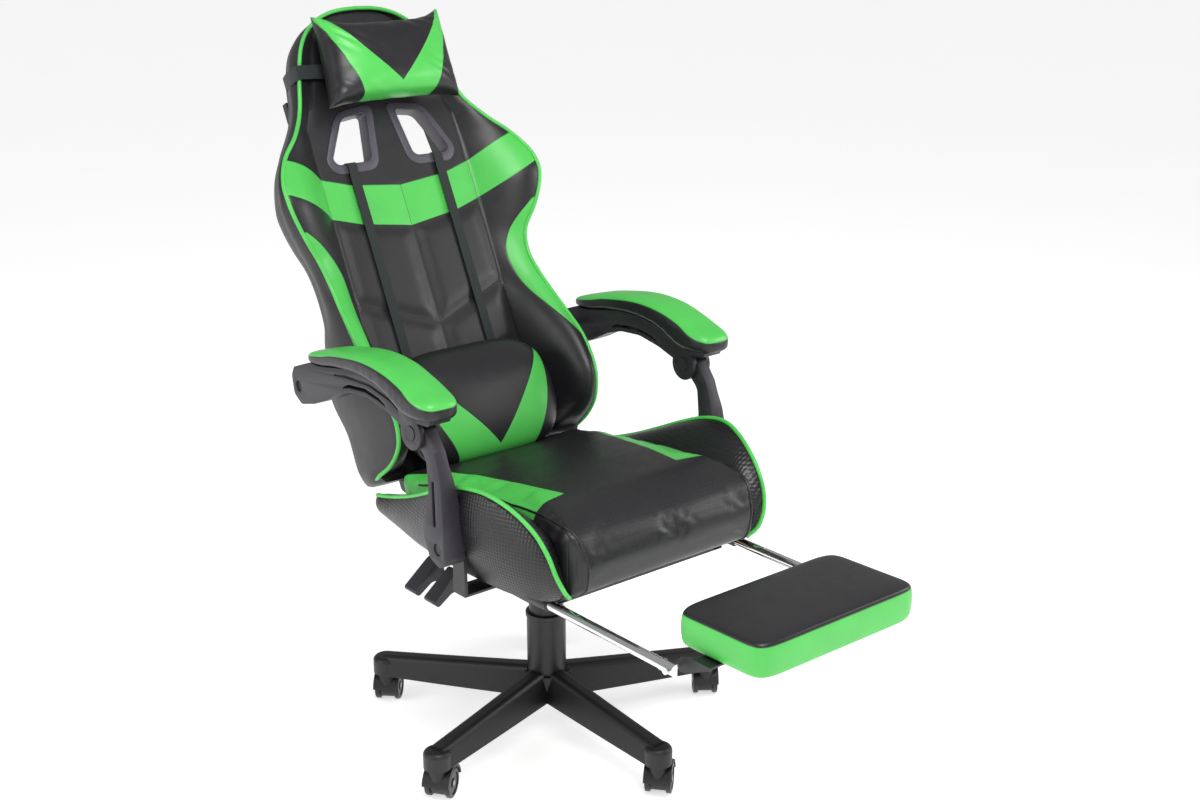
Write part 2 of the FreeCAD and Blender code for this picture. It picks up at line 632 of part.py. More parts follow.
BEZEL_OUTER = [(14, 1140, 14), (92, 1130, 16), (136, 1056, 18), (118, 1036, 16), (40, 1040, 20)]
BEZEL_INNER = [(32, 1122, 6), (84, 1115, 7), (115, 1058, 7), (108, 1054, 6), (50, 1056, 9)]
BEZEL_BARREL = [(29, 1125, 8), (86, 1118, 9), (119, 1057, 9), (110, 1051, 8), (47, 1053, 11)]


def grown_barrel(margin):
    """The barrel's outline, moved outwards by the margin."""
    cx = sum(p[0] for p in BEZEL_BARREL) / len(BEZEL_BARREL)
    cs = sum(p[1] for p in BEZEL_BARREL) / len(BEZEL_BARREL)
    grown = []
    for x, s, r in BEZEL_BARREL:
        reach = math.hypot(x - cx, s - cs)
        grown.append((x + (x - cx) / reach * margin, s + (s - cs) / reach * margin, r))
    return grown


def make_bezel():
    """A moulded frame that lines a belt hole: a front flange, a barrel and a rear flange."""
    front = back_front_plate(BEZEL_OUTER, BACK_FACE_N + 0.2, BACK_FACE_N + 3.4)
    rear_face = RECESS_N - 0.2
    rear = back_front_plate(grown_barrel(3.5), rear_face - 2.6, rear_face)
    barrel = back_front_plate(BEZEL_BARREL, rear_face - 2.6, BACK_FACE_N + 3.4)
    opening = back_front_plate(BEZEL_INNER, -100, 100)
    return front.fuse(rear).fuse(barrel).cut(opening).removeSplitter()


def belt_holes(margin):
    """The two holes in the back, larger than the barrels by the margin."""
    hole = back_front_plate(grown_barrel(margin), -120, 120)
    return hole.fuse(mirrored(hole))


def rear_recess():
    """The shallow pan in the rear of the back that both belt holes open into."""
    points = [(-127, 1034, 20), (127, 1034, 20), (118, 1150, 20), (-118, 1150, 20)]
    return back_front_plate(points, -200, RECESS_N)


def back_bar(x0, x1, s0, s1):
    return back_front_plate([(x0, s0), (x1, s0), (x1, s1), (x0, s1)], PANEL_N + 1.0, POCKET_FRONT_N - 1.0)


def make_back_frame():
    outer = BACK_TUBE_X + BACK_TUBE_HALF
    inner = BACK_TUBE_X - BACK_TUBE_HALF
    frame = back_bar(-outer, -inner, 492, 1180).fuse(back_bar(inner, outer, 492, 1180))
    for s in CROSS_BAR_S:
        frame = frame.fuse(back_bar(-inner - 1, inner + 1, s - BACK_TUBE_HALF, s + BACK_TUBE_HALF))
    return frame.removeSplitter()


def make_back_pocket():
    """The space in the foam that the frame sits in."""
    outer = BACK_TUBE_X + BACK_TUBE_HALF + 1.0
    inner = BACK_TUBE_X - BACK_TUBE_HALF - 1.0
    low_inner = inner - 6.5
    split = HINGE_PLATE_TOP_S + 1.0
    shapes = []
    for side in (-1, 1):
        points = [(outer, 470), (low_inner, 470), (low_inner, split), (inner, split), (inner, 1181),
                  (outer, 1181)]
        shapes.append(back_front_plate([(side * x, s) for x, s in points], -80, POCKET_FRONT_N))
    for s in CROSS_BAR_S:
        low, high = s - BACK_TUBE_HALF - 1, s + BACK_TUBE_HALF + 1
        shapes.append(back_front_plate([(-inner, low), (inner, low), (inner, high), (-inner, high)],
                                       -80, POCKET_FRONT_N))
    pocket = shapes[0]
    for shape in shapes[1:]:
        pocket = pocket.fuse(shape)
    return pocket


def make_back_cushion():
    cushion = make_back_body()
    slab = back_front_plate([(-400, 300), (400, 300), (400, 1500), (-400, 1500)], -200, PANEL_N)
    cushion = cushion.cut(slab)
    cushion = cushion.cut(make_back_pocket())
    for x0, x1 in ((-300, -189), (189, 300)):
        cushion = cushion.cut(rod_x(x0, x1, *ARM_REAR_PIVOT, ARM_BOLT_R + CLEAR))
    return cushion.cut(rear_recess()).cut(belt_holes(0.6))


def make_back_panel():
    """The stiff upholstered board that closes the rear of the back over the steel frame."""
    points = [(-154, 489, 20), (154, 489, 20), (156, 700, 200), (152, 850, 200), (156, 960, 100),
              (154, 1060, 60),
              (150, 1110, 60), (140, 1200, 60), (112, 1262, 40), (66, 1290, 30), (-66, 1290, 30),
              (-112, 1262, 40),
              (-140, 1200, 60), (-150, 1110, 60), (-154, 1060, 60), (-156, 960, 100), (-152, 850, 200),
              (-156, 700, 200)]
    panel = back_front_plate(points, PANEL_N - PANEL_THICKNESS, PANEL_N - 0.2)
    return panel.cut(rear_recess())


def make_hinge_plate():
    """The steel plate that carries the back on the recline pin."""
    ps = RECLINE_Y * TILT_SIN + RECLINE_Z * TILT_COS
    pn = -RECLINE_Y * TILT_COS + RECLINE_Z * TILT_SIN
    points = [(ps - 16, pn, 12), (ps - 6, pn - 22, 14), (470, -33, 10), (HINGE_PLATE_TOP_S, -33, 4),
              (HINGE_PLATE_TOP_S, -21.5, 4),
              (484, -21.5, 8), (ps + 16, pn - 4, 12), (ps + 13, pn + 13, 12), (ps - 13, pn + 13, 12)]
    plate = back_side_plate(points, 130.0, 135.8)
    return plate.cut(rod_x(100, 200, RECLINE_Y, RECLINE_Z, 6.0 + RUNNING_GAP))


STRAP_X = 90.0
STRAP_HALF_WIDTH = 9.0
STRAP_THICKNESS = 1.4


def make_lumbar_strap():
    """A flat elastic loop: over the belt hole's lower edge, down the rear and up behind the pillow."""
    t = STRAP_THICKNESS
    outer = [(1062, -48, 4), (1062, 36, 4), (1034, 36, 4), (680, 31.5, 30), (481, 31.5, 5),
             (481, -44, 6), (500, -48, 10)]
    inner = [(1062 - t, -48 + t, 3), (1062 - t, 36 - t, 3), (1034, 36 - t, 3), (680, 31.5 - t, 30),
             (481 + t, 31.5 - t, 4), (481 + t, -44 + t, 5), (500, -48 + t, 10)]
    x0, x1 = STRAP_X - STRAP_HALF_WIDTH, STRAP_X + STRAP_HALF_WIDTH
    return back_side_plate(outer, x0, x1).cut(back_side_plate(inner, x0 - 1, x1 + 1))


def make_arm_rear_bolt():
    y, z = ARM_REAR_PIVOT
    spacer = rod_x(222.0, ARM_INNER_X - CLEAR, y, z, 11.0)
    shank = rod_x(190.0, ARM_OUTER_X - 4, y, z, ARM_BOLT_R)
    head = rod_x(ARM_OUTER_X - 7.5, ARM_OUTER_X - 3, y, z, 8.5)
    return spacer.fuse(shank).fuse(head)


def make_lumbar_pillow():
    profile = [(500, 33.5, 8), (684, 33.5, 10), (686, 76, 30), (660, 124, 45), (600, 150, 60),
               (540, 150, 45),
               (490, 132, 30), (488, 60, 20)]
    across = [(-126, 33), (126, 33), (156, 88), (156, 151), (-156, 151), (-156, 88)]
    bottom = in_back_front_view(0)(0, 400)
    prism = outline(across, 6, lambda x, n: bottom + vec(x, 0, 0) + BACK_FORWARD * n)
    return back_side_plate(profile, -158, 158).common(prism.extrude(BACK_UP * 400))


def make_head_pillow():
    face = [(-137, 1124, 30), (137, 1124, 30), (132, 1200, 60), (127, 1296, 12), (0, 1280, 60),
            (-127, 1296, 12),
            (-132, 1200, 60)]
    block = back_front_plate(face, 46, 128)
    side = [(1118, 46), (1118, 84, 20), (1150, 120, 30), (1200, 128, 60), (1262, 112, 40),
            (1300, 74, 16), (1300, 46)]
    return block.common(back_side_plate(side, -170, 170, 4))


HEAD_STRAP_S = (1196.0, 1222.0)


def make_head_strap():
    """The elastic band that holds the head pillow: it runs round the narrow top of the back."""
    s0, s1 = HEAD_STRAP_S
    bottom = in_back_front_view(0)(0, s0)

    def ring(half, front, rear, radius):
        corners = [(-half, front), (half, front), (half, rear, radius + 12), (-half, rear, radius + 12)]
        return outline(corners, radius, lambda x, n: bottom + vec(x, 0, 0) + BACK_FORWARD * n)

    band = ring(167.0, 45.6, -44.0, 10.0).cut(ring(165.5, 44.1, -42.5, 8.5))
    return band.extrude(BACK_UP * (s1 - s0))


# ---------------------------------------------------------------- footrest
def make_footrest_rod():
    """A chromed tube with a flattened groove and a knurled knuckle at the hinge end."""
    rod = rod_y(ROD_FRONT_Y, ROD_REAR_Y, ROD_X, ROD_Z, ROD_R)
    groove = box(ROD_X - 10, ROD_X + 10, ROD_FRONT_Y + 28, -330, ROD_Z + ROD_R - 0.8, ROD_Z + 20)
    knuckle = rod_y(ROD_FRONT_Y - 26, ROD_FRONT_Y + 2, ROD_X, ROD_Z, ROD_R + 1.0)
    y, z = FOOT_PIVOT
    rod = rod.cut(groove).fuse(knuckle)
    rod = rod.cut(box(ROD_X - 20, ROD_X - 3.0, y - 14, y + 12, z - 20, z + 20))
    return rod.cut(rod_x(100, 260, y, z, 3.0))


def make_footrest_screw():
    y, z = FOOT_PIVOT
    screw = rod_x(EAR_X - 5, ROD_X + 9.5, y, z, 3.0)
    head = rod_x(ROD_X + 9.3, ROD_X + 12.3, y, z, 5.5)
    return screw.fuse(head)


def make_footrest_bracket():
    """A strip under the pad with an ear at each side that turns on the rod's screw."""
    y, z = FOOT_PIVOT
    ear_profile = [(y + 11, z - 2, 10), (y + 2, z + 11, 9), (y - 20, 400.6, 4), (y - 60, 400.6, 2),
                   (y - 60, 396, 2),
                   (y - 12, z - 9, 12), (y + 3, z - 11, 10)]
    ear = side_plate(ear_profile, EAR_X - 3.5, EAR_X)
    ear = ear.cut(rod_x(100, 260, y, z, 3.0 + RUNNING_GAP))
    arm = box(120, EAR_X, y - 60, y - 26, 397.6, 400.6)
    half = ear.fuse(arm)
    bar = box(-121, 121, y - 60, y - 26, 397.6, 400.6)
    return half.fuse(mirrored(half)).fuse(bar).removeSplitter()


def make_footrest_pad():
    profile = [(-506, 401, 5), (-504, 452, 9), (-680, 456, 9), (-678, 401, 5)]
    pad = side_plate(profile, -FOOTREST_HALF_WIDTH, FOOTREST_HALF_WIDTH)
    w = FOOTREST_HALF_WIDTH
    plan = outline([(-w, -690), (w, -690), (w, -495), (-w, -495)], 9, in_plan(380)).extrude(vec(0, 0, 100))
    return pad.common(plan)


# ---------------------------------------------------------------- write every node
def main():
    os.makedirs("parts", exist_ok=True)
    export("star_base", make_star_base())
    export_group("caster_stems", [make_stem(i) for i in range(LEG_COUNT)])
    make_casters()
    export("gas_outer_tube", make_outer_tube())
    export("gas_rod", make_gas_rod())
    export("gas_pressure_tube", make_pressure_tube())
    export("column_cover_lower", make_lower_cover())
    export("column_cover_upper", make_upper_cover())
    export("mechanism_housing", make_mechanism_housing())
    export("mechanism_plate", make_mechanism_plate())
    export_group("mechanism_bolts", make_mechanism_bolts())
    for name, y in LEVER_YS.items():
        export(name, make_lever(y))
    export("seat_frame", make_seat_frame())
    export("seat_board", make_seat_board())
    export("seat_cushion", make_seat_cushion())
    export_pair("seat_wing", mirrored(make_wing()))
    guide = make_footrest_guide()
    export_group("footrest_guides", [guide, mirrored(guide)])
    pin = make_recline_pin()
    export_group("recline_pins", [pin, mirrored(pin)])
    bracket = make_arm_bracket()
    export_group("arm_brackets", [bracket, mirrored(bracket)])
    bolt = make_arm_lower_bolt()
    export_group("arm_lower_bolts", [bolt, mirrored(bolt)])
    export_pair("arm_post", mirrored(make_arm_post()))
    export_pair("arm_beam", mirrored(make_arm_beam()))
    export_pair("arm_pad", mirrored(make_arm_pad()))
    export_pair("arm_pivot_cap", mirrored(make_pivot_cap()))
    export("back_frame", make_back_frame())
    export("back_cushion", make_back_cushion())
    export("back_panel", make_back_panel())
    hinge = make_hinge_plate()
    export_group("back_hinge_plates", [hinge, mirrored(hinge)])
    export_pair("belt_bezel", mirrored(make_bezel()))
    strap = make_lumbar_strap()
    export_group("lumbar_straps", [strap, mirrored(strap)])
    rear_bolt = make_arm_rear_bolt()
    export_group("arm_rear_bolts", [rear_bolt, mirrored(rear_bolt)])
    export("lumbar_pillow", make_lumbar_pillow())
    export("head_pillow", make_head_pillow())
    export("head_strap", make_head_strap())
    rod = make_footrest_rod()
    export_group("footrest_rods", [rod, mirrored(rod)])
    screw = make_footrest_screw()
    export_group("footrest_screws", [screw, mirrored(screw)])
    export("footrest_bracket", make_footrest_bracket())
    export("footrest_pad", make_footrest_pad())


main()
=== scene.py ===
import bisect
import math

import bpy
from bpy.props import FloatProperty, FloatVectorProperty, PointerProperty
from mathutils import Matrix, Vector


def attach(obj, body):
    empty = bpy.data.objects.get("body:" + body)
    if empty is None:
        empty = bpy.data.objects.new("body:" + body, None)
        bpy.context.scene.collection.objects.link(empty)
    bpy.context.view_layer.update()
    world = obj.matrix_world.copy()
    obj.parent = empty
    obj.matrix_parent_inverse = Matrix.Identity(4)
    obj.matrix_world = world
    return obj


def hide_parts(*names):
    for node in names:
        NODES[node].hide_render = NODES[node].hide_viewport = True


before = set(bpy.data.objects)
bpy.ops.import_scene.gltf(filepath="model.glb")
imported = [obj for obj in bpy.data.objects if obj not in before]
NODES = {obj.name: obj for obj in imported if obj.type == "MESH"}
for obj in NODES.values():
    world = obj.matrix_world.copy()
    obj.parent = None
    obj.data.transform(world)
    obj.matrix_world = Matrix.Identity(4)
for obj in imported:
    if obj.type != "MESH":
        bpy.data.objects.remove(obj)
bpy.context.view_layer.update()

bl_info = {
    "name": "Gaming chair",
    "version": (1, 0, 0),
    "blender": (4, 5, 0),
    "location": "View3D > Sidebar > Gaming chair",
    "description": "Upholstery, trim and finishes for a reclining gaming chair",
    "category": "Add Mesh",
}

TILT = math.radians(25.9)
BACK_UP = Vector((0, math.sin(TILT), math.cos(TILT)))
BACK_OUT = Vector((0, -math.cos(TILT), math.sin(TILT)))
SIDES = (("right", -1), ("left", 1))
CLOTH_STEPS = 20
# A piece's "panel" number where it is surely black, in metres outside the green.
OUTSIDE = -0.012


# ------------------------------------------------------------------ places and curves
def on_back(x, s, n):
    """A point of the tilted back: s up along it, n forward out of it, in metres."""
    return Vector((x, 0, 0)) + BACK_UP * s + BACK_OUT * n


def at(rows, key):
    """The values of a table of (key, value, ...) rows at a key, along a smooth curve."""
    keys = [row[0] for row in rows]
    if key <= keys[0]:
        return rows[0][1:]
    if key >= keys[-1]:
        return rows[-1][1:]
    i = bisect.bisect_right(keys, key) - 1
    span = keys[i + 1] - keys[i]
    t = (key - keys[i]) / span

    def slope(j, c):
        a, b = max(j - 1, 0), min(j + 1, len(rows) - 1)
        return (rows[b][c] - rows[a][c]) / (rows[b][0] - rows[a][0]) * span

    return tuple(
        (2 * t ** 3 - 3 * t ** 2 + 1) * rows[i][c] + (t ** 3 - 2 * t ** 2 + t) * slope(i, c)
        + (3 * t ** 2 - 2 * t ** 3) * rows[i + 1][c] + (t ** 3 - t ** 2) * slope(i + 1, c)
        for c in range(1, len(rows[0])))


def through(points, t):
    """A point on a smooth curve through the points, for t from 0 to 1."""
    rows = [(i, *p) for i, p in enumerate(points)]
    return at(rows, t * (len(points) - 1))


def blend_value(low, high, value):
    """0 below low, 1 above high, and smooth between."""
    t = min(1.0, max(0.0, (value - low) / (high - low)))
    return t * t * (3 - 2 * t)


# ------------------------------------------------------------------ modelling helpers
def pick(piece):
    bpy.ops.object.select_all(action="DESELECT")
    piece.select_set(True)
    bpy.context.view_layer.objects.active = piece
    return piece


def tidy_mesh(piece, reach=1e-5):
    """Merges what meets, and turns the faces outwards."""
    pick(piece)
    bpy.ops.object.mode_set(mode="EDIT")
    bpy.ops.mesh.select_all(action="SELECT")
    bpy.ops.mesh.remove_doubles(threshold=reach)
    bpy.ops.mesh.dissolve_degenerate(threshold=1e-6)
    bpy.ops.mesh.normals_make_consistent(inside=False)
    bpy.ops.object.mode_set(mode="OBJECT")
    return piece


def modify(piece, kind, **settings):
    """Adds a modifier and applies it."""
    pick(piece)
    modifier = piece.modifiers.new(kind.title(), kind)
    for key, value in settings.items():
        setattr(modifier, key, value)
    bpy.ops.object.modifier_apply(modifier=modifier.name)
    return piece


def smooth(piece, angle=None):
    pick(piece)
    if angle is None:
        bpy.ops.object.shade_smooth()
    else:
        bpy.ops.object.shade_smooth_by_angle(angle=math.radians(angle))
    return piece


def surface(name, columns, rows, point):
    """A grid whose crossings are laid on a shape: point(column, row) is each one's place."""
    bpy.ops.object.select_all(action="DESELECT")
    bpy.ops.mesh.primitive_grid_add(x_subdivisions=columns, y_subdivisions=rows, size=2)
    piece = bpy.context.object
    piece.name = piece.data.name = name
    for vertex in piece.data.vertices:
        column = round((vertex.co.x + 1) / 2 * columns)
        row = round((vertex.co.y + 1) / 2 * rows)
        vertex.co = point(column, row)
    return smooth(tidy_mesh(piece))


def tube(name, points, radius):
    """A round cord of piping through the points, as a mesh."""
    curve = bpy.data.curves.new(name, "CURVE")
    curve.dimensions = "3D"
    curve.bevel_depth = radius
    curve.bevel_resolution = 3
    curve.use_fill_caps = True
    spline = curve.splines.new("POLY")
    spline.points.add(len(points) - 1)
    for spot, place in zip(spline.points, points):
        spot.co = (*place, 1.0)
    piece = bpy.data.objects.new(name, curve)
    bpy.context.collection.objects.link(piece)
    pick(piece)
    bpy.ops.object.convert(target="MESH")
    return smooth(tidy_mesh(bpy.context.object))


def ribbon(name, path, across, thickness):
    """A flat closed strap along a path; across is half its width, as a vector."""
    count = len(path)
    spots = path + path[:1]

    def point(column, row):
        before = spots[row - 1] if row else spots[count - 1]
        after = spots[row + 1] if row + 1 < len(spots) else spots[1]
        out = (after - before).cross(across).normalized() * thickness / 2
        corner = ((1, 1), (1, -1), (-1, -1), (-1, 1))[column % 4]
        return spots[row] + across * corner[0] + out * corner[1]

    piece = surface(name, 4, len(spots) - 1, point)
    return smooth(piece, 50)


def copied(node, name):
    """A merged copy of a frame piece, as a new object."""
    piece = NODES[node].copy()
    piece.data = NODES[node].data.copy()
    piece.parent = None
    piece.matrix_world = Matrix.Identity(4)
    for key in list(piece.keys()):
        del piece[key]
    piece.name = piece.data.name = name
    bpy.context.collection.objects.link(piece)
    pick(piece)
    bpy.ops.object.mode_set(mode="EDIT")
    bpy.ops.mesh.select_all(action="SELECT")
    bpy.ops.mesh.remove_doubles(threshold=2e-5)
    bpy.ops.object.mode_set(mode="OBJECT")
    return piece


def eased(node, width):
    """A moulded piece with its edges sharper than 32 degrees rounded off."""
    piece = copied(node, node + "_finish")
    bpy.ops.object.mode_set(mode="EDIT")
    bpy.ops.mesh.dissolve_limited(angle_limit=math.radians(1.5))
    bpy.ops.object.mode_set(mode="OBJECT")
    modify(piece, "BEVEL", width=width, segments=2, limit_method="ANGLE",
           angle_limit=math.radians(32), use_clamp_overlap=True, harden_normals=False)
    return smooth(piece, 40)


def plump(piece, voxel, pressure, reach):
    """Fills a padded piece as cloth under pressure; no point moves further than reach.

    Only the smoothing is done on a quick run.
    """
    modify(piece, "REMESH", mode="VOXEL", voxel_size=voxel, use_smooth_shade=True)
    modify(piece, "SMOOTH", factor=0.5, iterations=4)
    scene = bpy.context.scene
    cloth = piece.modifiers.new("Filling", "CLOTH")
    cloth.settings.quality = 5
    cloth.settings.mass = 0.4
    cloth.settings.tension_stiffness = 25
    cloth.settings.compression_stiffness = 8
    cloth.settings.bending_stiffness = 2
    cloth.settings.use_pressure = True
    cloth.settings.uniform_pressure_force = pressure
    cloth.settings.effector_weights.gravity = 0
    cloth.point_cache.frame_end = CLOTH_STEPS
    before = [v.co.copy() for v in piece.data.vertices]
    for step in range(1, CLOTH_STEPS + 1):
        scene.frame_set(step)
    shown = piece.evaluated_get(bpy.context.evaluated_depsgraph_get())
    moved = [v.co.copy() for v in shown.data.vertices]
    piece.modifiers.remove(cloth)
    scene.frame_set(1)
    for vertex, old, new in zip(piece.data.vertices, before, moved):
        push = new - old
        if push.length > reach:
            push = push.normalized() * reach
        vertex.co = old + push
    return smooth(piece)


def mark(piece, name, value):
    """Stores a number on every point; value is a function of the point's place."""
    layer = piece.data.attributes.new(name, "FLOAT", "POINT")
    layer.data.foreach_set("value", [value(v.co) for v in piece.data.vertices])
    return piece


def dress(piece, body, material, replaced=()):
    """Gives a finished piece its material, its body and the frame pieces it stands for."""
    piece.data.materials.clear()
    piece.data.materials.append(material)
    for polygon in piece.data.polygons:
        polygon.material_index = 0
    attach(piece, body)
    if replaced:
        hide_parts(*replaced)
    return piece


# ------------------------------------------------------------------ materials
# Sizes of the patterns, in metres.
LEATHER_PEBBLE = 0.0011   # pebbles of the embossing roll, about 1 mm
WEAVE_PITCH = 0.0056      # real fibre weave is 2 to 3 mm; drawn coarser so that it shows
PERFORATION_PITCH = 0.0062  # real holes are about 4 mm apart; drawn coarser so that they show
SEAM_THREAD = 0.0011      # half the width of the dark line a sewn seam leaves
SEAM_GROOVE = 0.0022      # half the width of the dip beside it
RIB_PITCH = 0.0016        # ribs along the elastic webbing, one yarn each
PICK_PITCH = 0.0012       # its cross yarns
WOOD_FIGURE = 0.006       # growth bands in a birch veneer
BRUSH_LINE = 0.0006       # width of a drawing or polishing line; real ones are finer


def linear(colour):
    """Linear light from a #rrggbb colour."""
    parts = [int(colour[i:i + 2], 16) / 255 for i in (1, 3, 5)]
    return tuple(c / 12.92 if c <= 0.04045 else ((c + 0.055) / 1.055) ** 2.4 for c in parts) + (1.0,)


def add_node(tree, kind, inputs=None, **settings):
    """One shader node; a socket among the inputs is linked, and a number is set."""
    made = tree.nodes.new("ShaderNode" + kind)
    for key, value in settings.items():
        setattr(made, key, value)
    for key, value in (inputs or {}).items():
        if isinstance(value, bpy.types.NodeSocket):
            tree.links.new(value, made.inputs[key])
        else:
            made.inputs[key].default_value = value
    return made


def calc(tree, operation, *values, clamp=False):
    """A Math node's result."""
    return add_node(tree, "Math", dict(enumerate(values)), operation=operation, use_clamp=clamp).outputs[0]


def mix(tree, factor, first, second):
    """A blend of two colours."""
    return add_node(tree, "Mix", {0: factor, 6: first, 7: second}, data_type="RGBA").outputs[2]


def toned(colour, share):
    """A linear colour made darker or lighter."""
    return tuple(min(1.0, c * share) for c in colour[:3]) + (1.0,)


def start_material(name, roughness, metallic=0.0, sheen=0.0):
    """A new material, its node tree, its shader and the object coordinates in metres."""
    material = bpy.data.materials.new(name)
    material.use_nodes = True
    tree = material.node_tree
    shader = tree.nodes["Principled BSDF"]
    shader.inputs["Roughness"].default_value = roughness
    shader.inputs["Metallic"].default_value = metallic
    shader.inputs["Sheen Weight"].default_value = sheen
    place = add_node(tree, "TexCoord").outputs["Object"]
    return material, tree, shader, place


def bumped(tree, shader, height, strength, distance):
    """Links a height from 0 to 1 to the shader's normal; distance is its depth in metres."""
    made = add_node(tree, "Bump", {"Height": height, "Strength": strength, "Distance": distance})
    tree.links.new(made.outputs[0], shader.inputs["Normal"])


def noise(tree, place, size, detail=2.0, rough=0.5):
    """A noise whose lumps are about size metres across."""
    return add_node(tree, "TexNoise", {"Vector": place, "Scale": 1.0 / size, "Detail": detail,
                                       "Roughness": rough}).outputs[0]


def leather_grain(tree, place):
    """The pebbled grain of embossed synthetic leather, from 0 to 1."""
    cells = add_node(tree, "TexVoronoi", {"Vector": place, "Scale": 1.0 / LEATHER_PEBBLE, "Smoothness": 0.7},
                     feature="SMOOTH_F1").outputs["Distance"]
    return calc(tree, "MULTIPLY", cells, 1.4, clamp=True)


def embossed_weave(tree, place, first, second, pitch):
    """Small raised lozenges in diagonal rows, like a woven fibre cloth."""
    parts = add_node(tree, "SeparateXYZ", {0: place})
    a = calc(tree, "MULTIPLY", parts.outputs[first], math.pi / pitch)
    b = calc(tree, "MULTIPLY", parts.outputs[second], math.pi / pitch)
    up = calc(tree, "SINE", calc(tree, "ADD", a, b))
    down = calc(tree, "SINE", calc(tree, "SUBTRACT", a, b))
    return calc(tree, "MULTIPLY", up, down)


def seam_field(tree, place, lines):
    """The distance in metres to the nearest of some sewn lines on the back.

    A line is (a, b, c, limit): a|x| + b s + c = 0, below s = limit.
    """
    turned = add_node(tree, "Mapping", {"Vector": place, "Rotation": (TILT, 0, 0)}).outputs[0]
    parts = add_node(tree, "SeparateXYZ", {0: turned})
    wide = calc(tree, "ABSOLUTE", parts.outputs[0])
    high = parts.outputs[2]
    nearest = None
    for a, b, c, limit in lines:
        along = calc(tree, "MULTIPLY_ADD", wide, a, calc(tree, "MULTIPLY_ADD", high, b, c))
        away = calc(tree, "ADD", calc(tree, "ABSOLUTE", along),
                    calc(tree, "GREATER_THAN", high, limit))
        away = calc(tree, "ADD", away, calc(tree, "GREATER_THAN", wide, 0.1565))
        nearest = away if nearest is None else calc(tree, "MINIMUM", nearest, away)
    return nearest


def leatherette(name, dark, bright=None, roughness=0.4, pattern="grain", lines=()):
    """Coated cloth upholstery: knitted backing with an embossed polyurethane skin.

    The skin gives a broad soft sheen over fine pebbles.  Where a piece's "panel" number is above 0
    it is bright, and a dark sewn line follows the change.  Lines are extra seams on the back.
    """
    material, tree, shader, place = start_material(name, roughness)
    broad = noise(tree, place, 0.05, 2.0)
    shade = mix(tree, broad, toned(dark, 0.8), toned(dark, 1.25))
    edge = inside = None
    if bright:
        panel = add_node(tree, "Attribute", attribute_name="panel").outputs["Fac"]
        inside = calc(tree, "MULTIPLY_ADD", panel, 4000.0, 0.5, clamp=True)
        shade = mix(tree, inside, shade, mix(tree, broad, toned(bright, 0.9), toned(bright, 1.12)))
        edge = calc(tree, "MULTIPLY", calc(tree, "ABSOLUTE", panel), 700.0, clamp=True)
        unsewn = calc(tree, "MULTIPLY_ADD", edge, 0.5, 0.5, clamp=True)
        shade = mix(tree, unsewn, toned(dark, 0.5), shade)
    height = calc(tree, "MULTIPLY", leather_grain(tree, place), 0.1)
    if pattern == "weave":
        lozenges = embossed_weave(tree, place, 1, 2, WEAVE_PITCH)
        height = calc(tree, "MULTIPLY_ADD", lozenges, 0.45, height)
        # Painted shade: the hollows between the lozenges are coloured darker than their raised tops.
        raised = calc(tree, "MULTIPLY_ADD", lozenges, 0.5, 0.5, clamp=True)
        shade = mix(tree, raised, toned(dark, 0.55), shade)
    if pattern == "perforated":
        dots = embossed_weave(tree, place, 0, 1, PERFORATION_PITCH)
        holes = calc(tree, "MULTIPLY", calc(tree, "SUBTRACT", dots, 0.72), 6.0, clamp=True)
        height = calc(tree, "MULTIPLY_ADD", holes, -0.5, height)
        solid = calc(tree, "MULTIPLY", holes, calc(tree, "SUBTRACT", 1.0, inside))
        shade = mix(tree, calc(tree, "MULTIPLY", solid, 0.75), shade, toned(dark, 0.3))
    if edge is not None:
        height = calc(tree, "MULTIPLY_ADD", edge, 0.5, height)
    if lines:
        away = seam_field(tree, place, lines)
        groove = calc(tree, "MULTIPLY", away, 1.0 / SEAM_GROOVE, clamp=True)
        height = calc(tree, "MULTIPLY_ADD", calc(tree, "POWER", groove, 0.6), 0.35, height)
        thread = calc(tree, "MULTIPLY", away, 1.0 / SEAM_THREAD, clamp=True)
        clear = calc(tree, "MULTIPLY_ADD", thread, 0.75, 0.25, clamp=True)
        shade = mix(tree, clear, toned(dark, 0.25), shade)
    tree.links.new(shade, shader.inputs["Base Color"])
    rough = calc(tree, "MULTIPLY_ADD", noise(tree, place, 0.02, 3.0), 0.16, roughness - 0.08)
    tree.links.new(rough, shader.inputs["Roughness"])
    bumped(tree, shader, height, 0.55, 0.001)
    return material


def moulded(name, colour, roughness, grain, depth, wear):
    """Injection-moulded plastic or powder coat.

    The spark-eroded mould leaves a fine even grain, grain metres across, that spreads the highlights.
    Wear is how far the tone drifts over the piece.
    """
    material, tree, shader, place = start_material(name, roughness)
    lumps = noise(tree, place, grain, 2.0)
    broad = noise(tree, place, 0.03, 3.0)
    tone = mix(tree, broad, toned(colour, 1 - wear), toned(colour, 1 + wear))
    tree.links.new(tone, shader.inputs["Base Color"])
    rough = calc(tree, "MULTIPLY_ADD", lumps, 0.2, roughness - 0.1)
    tree.links.new(rough, shader.inputs["Roughness"])
    bumped(tree, shader, lumps, depth, 0.0006)
    return material


